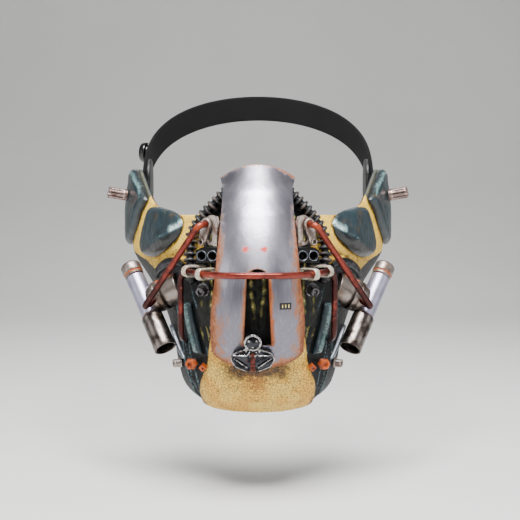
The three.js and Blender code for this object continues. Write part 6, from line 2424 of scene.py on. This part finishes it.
@dataclass
class SmallParts:
    """Ear studs and the orange plugs beside the chin."""

    stud_radius: float = 4.2
    stud_length: float = 13.2
    flutes: int = 10
    lobe_height: float = 5.2
    stud_place: tuple[float, float] = (0.87, 0.008)
    plug_radius: float = 3.75
    plug_length: float = 9.0

    def build(self) -> None:
        """Builds and dresses the studs and plugs."""
        place = np.array(self.stud_place)
        seat = FACE.point(place[:1], place[1:], SEAT + self.lobe_height + 0.3)[0]
        turn = facing(FACE.normal(place[:1], place[1:])[0])
        r, length = self.stud_radius, self.stud_length
        profile = rounded(
            [(0, 0), (r * 1.04, 0), (r * 1.04, length * 0.2), (r * 0.98, length * 0.24),
             (r * 0.98, length * 0.72),
             (r, length * 0.76), (r, length * 0.97), (r * 0.9, length), (r * 0.6, length),
             (r * 0.5, length * 0.94),
             (r * 0.4, length * 0.6), (0, length * 0.6)], 0.4, 4)
        along = np.array([row[1] for row in profile])
        radii = np.array([row[0] for row in profile])

        def flute(angle: Array, ring: Array) -> Array:
            """Returns the groove factor of the barrel by angle and ring."""
            on = (along[ring] > length * 0.23) & (radii[ring] > r * 0.8)
            return 1 - 0.07 * on * (0.5 + 0.5 * np.cos(angle * self.flutes)) ** 2

        dress_pair(lathe("ear_stud_made", profile, 112, seat, turn, flute), STUD_METAL, "ear_stud")
        plugs = (
            # name, around, level, size, direction, sides
            ("plug_outer", 0.281, 0.718, 1.0, (0.3, -0.95, 0.05), 6),
            ("plug_inner", 0.222, 0.718, 0.7, (0.1, -1, -0.1), 4),
        )
        for plug in plugs:
            self.build_plug(*plug)

    def build_plug(
        self, name: str, around: float, level: float, size: float, out: tuple[float, float, float], sides: int
    ) -> None:
        """Builds one plug with grip rings.

        Args:
            name: Name of the plug.
            around: Its place round the face.
            level: Its level.
            size: Its radius as a share of the large plug's.
            out: Its direction.
            sides: Sides of its body.
        """
        base = FACE.bare(np.array([around]), np.array([level]))[0]
        r, length = self.plug_radius * size, self.plug_length
        start = 3.0 if sides == 6 else 4.5
        profile = [(0, start), (r * 0.8, start)]
        for step in np.linspace(length * 0.5, length * 0.84, 3):
            profile += [(r * 0.8, step - 0.75), (r, step - 0.5), (r, step + 0.3), (r * 0.8, step + 0.55)]
        profile += [(r * 0.92, length - 0.5), (r * 0.8, length), (r * 0.45, length),
                    (r * 0.45, length - 1.5), (0, length - 1.5)]
        profile = rounded(profile, 0.2)
        dress_pair(lathe(f"{name}_made", profile, sides, base, facing(out)), PLUG_PLASTIC, name)


@dataclass
class HeadStrap:
    """Webbing round the back of the head, its tabs and its snap knob."""

    width: float = 20.0
    thickness: float = 2.5
    back: float = 92.0
    rise: float = 62.0
    rise_power: float = 0.75
    lean: float = 0.35
    tab: tuple[float, float, float] = (34.0, 26.0, 2.6)
    tab_place: tuple[float, float] = (0.895, -0.065)
    knob_radius: float = 8.0
    knob_length: float = 8.0
    knob_share: float = 0.085

    def tab_point(self) -> Array:
        """Returns the middle of the tab's inner side."""
        return np.array([self.tab_place[0] * FACE.half_width, FACE.rear, -self.tab_place[1] * FACE.height])

    def middle(self, share: Array) -> Array:
        """Returns the middle of the strap at shares of the way round it.

        Args:
            share: Shares of the way, from 0 to 1.

        Returns:
            The points.
        """
        angle = (np.asarray(share) - 0.5) * math.pi
        start = self.tab_point()
        side = start[0] + self.tab[2] + 2 * SEAT + self.thickness / 2
        cosine = np.maximum(np.cos(angle), 0)
        return np.stack(
            [side * np.sin(angle), start[1] + self.thickness * 2 + (self.back - start[1]) * cosine,
             start[2] + self.rise * cosine**self.rise_power], axis=-1)

    def frames(self, share: Array) -> tuple[Array, Array, Array]:
        """Returns the strap's middle, direction and outward side at shares of its way.

        Args:
            share: Shares of the way, from 0 to 1.

        Returns:
            Middle, direction and outward side.
        """
        step = 0.003
        held = np.clip(share, step * 1.5, 1 - step * 1.5)
        middle = self.middle(held)
        along = unit(self.middle(held + step) - self.middle(held - step))
        out = np.stack([middle[..., 0], middle[..., 1] - FACE.rear, middle[..., 2] * self.lean], axis=-1)
        out = unit(out - along * (out * along).sum(-1, keepdims=True))
        return middle, along, out

    def build(self) -> None:
        """Builds and dresses the strap, tabs and knob."""
        share = np.linspace(0, 1, 160)
        middle, along, out = self.frames(share)
        across = np.cross(out, along)
        w, t = self.width / 2, self.thickness / 2
        section = [(-w + t, t), *[(x, t) for x in np.linspace(-w + t, w - t, 12)[1:]],
                   *[(w - t + t * math.sin(a), t * math.cos(a)) for a in np.linspace(0.5, 2.6, 4)],
                   *[(x, -t) for x in np.linspace(w - t, -w + t, 12)],
                   *[(-w + t - t * math.sin(a), -t * math.cos(a)) for a in np.linspace(0.5, 2.6, 4)]]
        section = np.array(section)
        rings = (middle[:, None] + across[:, None] * section[None, :, :1] + out[:, None]
                 * section[None, :, 1:])
        ends = [rings[k].mean(axis=0) + 0 * rings[k] for k in (0, -1)]
        rings = np.concatenate([ends[0][None], rings, ends[1][None]])
        dress(skin("head_strap_made", rings, smooth=50), WEBBING, "head_strap")
        length, width, depth = self.tab
        run = length - width
        tab = plate_solid("strap_tab_made", [slot_points(width / 2, run, (width - length) / 2, 24)],
                          depth, self.tab_point(), facing([1, 0, 0]), 0.8)
        dress_pair(tab, TAB_LEATHER, "strap_tab")
        at, _, outward = self.frames(np.array(self.knob_share))
        r, h = self.knob_radius, self.knob_length
        profile = rounded([(0, 0), (r * 0.8, 0), (r * 0.8, h * 0.25), (r, h * 0.35), (r, h * 0.6),
                           (r * 0.85, h * 0.9),
                           (r * 0.6, h), (r * 0.45, h * 0.86), (0, h * 0.86)], 0.7, 5)
        dress(lathe("strap_knob_made", profile, 64, at + outward * (self.thickness / 2 + 0.3),
                    facing(outward)), KNOB_PLASTIC, "strap_knob")


@dataclass
class Studio:
    """Pale floor, soft light and the camera at the photo's angle."""

    distance: float = 740.0
    elevation: float = 3.0
    aim: tuple[float, float, float] = (1.46, 0.0, -47.5)
    lens: float = 70.06
    floor: float = -190.0

    def build(self) -> None:
        """Builds the camera, lights and floor."""
        self.build_camera()
        self.build_lights()
        self.build_floor()

    def build_camera(self) -> None:
        """Adds the camera and makes it the scene's."""
        angle = math.radians(self.elevation)
        x, y, z = self.aim
        place = (x, y - self.distance * math.cos(angle), z + self.distance * math.sin(angle))
        deselect()
        bpy.ops.object.camera_add(location=[v * MM for v in place], rotation=(math.pi / 2 - angle, 0, 0))
        camera = bpy.context.object
        camera.name, camera.data.lens, camera.data.sensor_width = "photo_camera", self.lens, 36.0
        camera.data.clip_start = 0.01
        bpy.context.scene.camera = camera

    def build_lights(self) -> None:
        """Adds three soft lights and a pale world."""
        lights = (
            # name, place, width, height, power
            ("key_softbox", (0.0, -0.5, 0.9), 0.85, 0.5, 40.0),
            ("front_fill", (0.1, -1.3, 0.35), 0.9, 0.9, 3.2),
            ("left_fill", (-0.95, -0.45, 0.1), 0.7, 0.7, 2.2),
            ("right_fill", (0.95, -0.45, 0.1), 0.7, 0.7, 2.2),
            ("back_rim", (0.0, 1.0, 0.7), 0.9, 0.9, 4.0),
        )
        for name, place, width, height, power in lights:
            deselect()
            bpy.ops.object.light_add(type="AREA", location=place)
            light = bpy.context.object
            light.name, light.data.shape = name, "ELLIPSE"
            light.data.size, light.data.size_y, light.data.energy = width, height, power
            aim = Vector((0.0, -0.05, -0.04)) - Vector(place)
            light.rotation_euler = aim.to_track_quat("-Z", "Y").to_euler()
        world = bpy.context.scene.world or bpy.data.worlds.new("studio")
        bpy.context.scene.world = world
        world.use_nodes = True
        background = world.node_tree.nodes["Background"]
        background.inputs["Color"].default_value = (0.86, 0.87, 0.9, 1)
        background.inputs["Strength"].default_value = 0.22

    def build_floor(self) -> None:
        """Adds the plain pale floor, swept up behind the mask."""
        bend = np.linspace(0, math.pi / 2, 24)
        flat = [(-3000.0, 0.0), *[(900 + 900 * math.sin(a), 900 - 900 * math.cos(a)) for a in bend],
                (1800.0, 4000.0)]
        rings = np.array([[[x, y, z + self.floor] for x in np.linspace(-4000, 4000, 5)] for y, z in flat])
        floor = skin("studio_floor", rings, wrap=False, smooth=60)
        finish = Finish("matte_floor", "", "D9D9D7", 0.8,
                        layers=(Layer("D2D2D0", Texture(size=300.0), 0.4, 0.6, 0.4),))
        floor.data.materials.append(finish.material())


def main() -> None:
    """Builds the studio and every sub-assembly."""
    logging.basicConfig(level=logging.INFO, format="%(message)s")
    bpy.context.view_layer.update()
    Studio().build()
    for part in (Shell(), Cheeks(), Jaw(), FrontPlate(), Canisters(), Fittings(), Rods(), Hoses(),
                 SmallParts(), HeadStrap()):
        LOG.info("building %s", type(part).__name__)
        part.build()


if __name__ == "__main__":
    main()
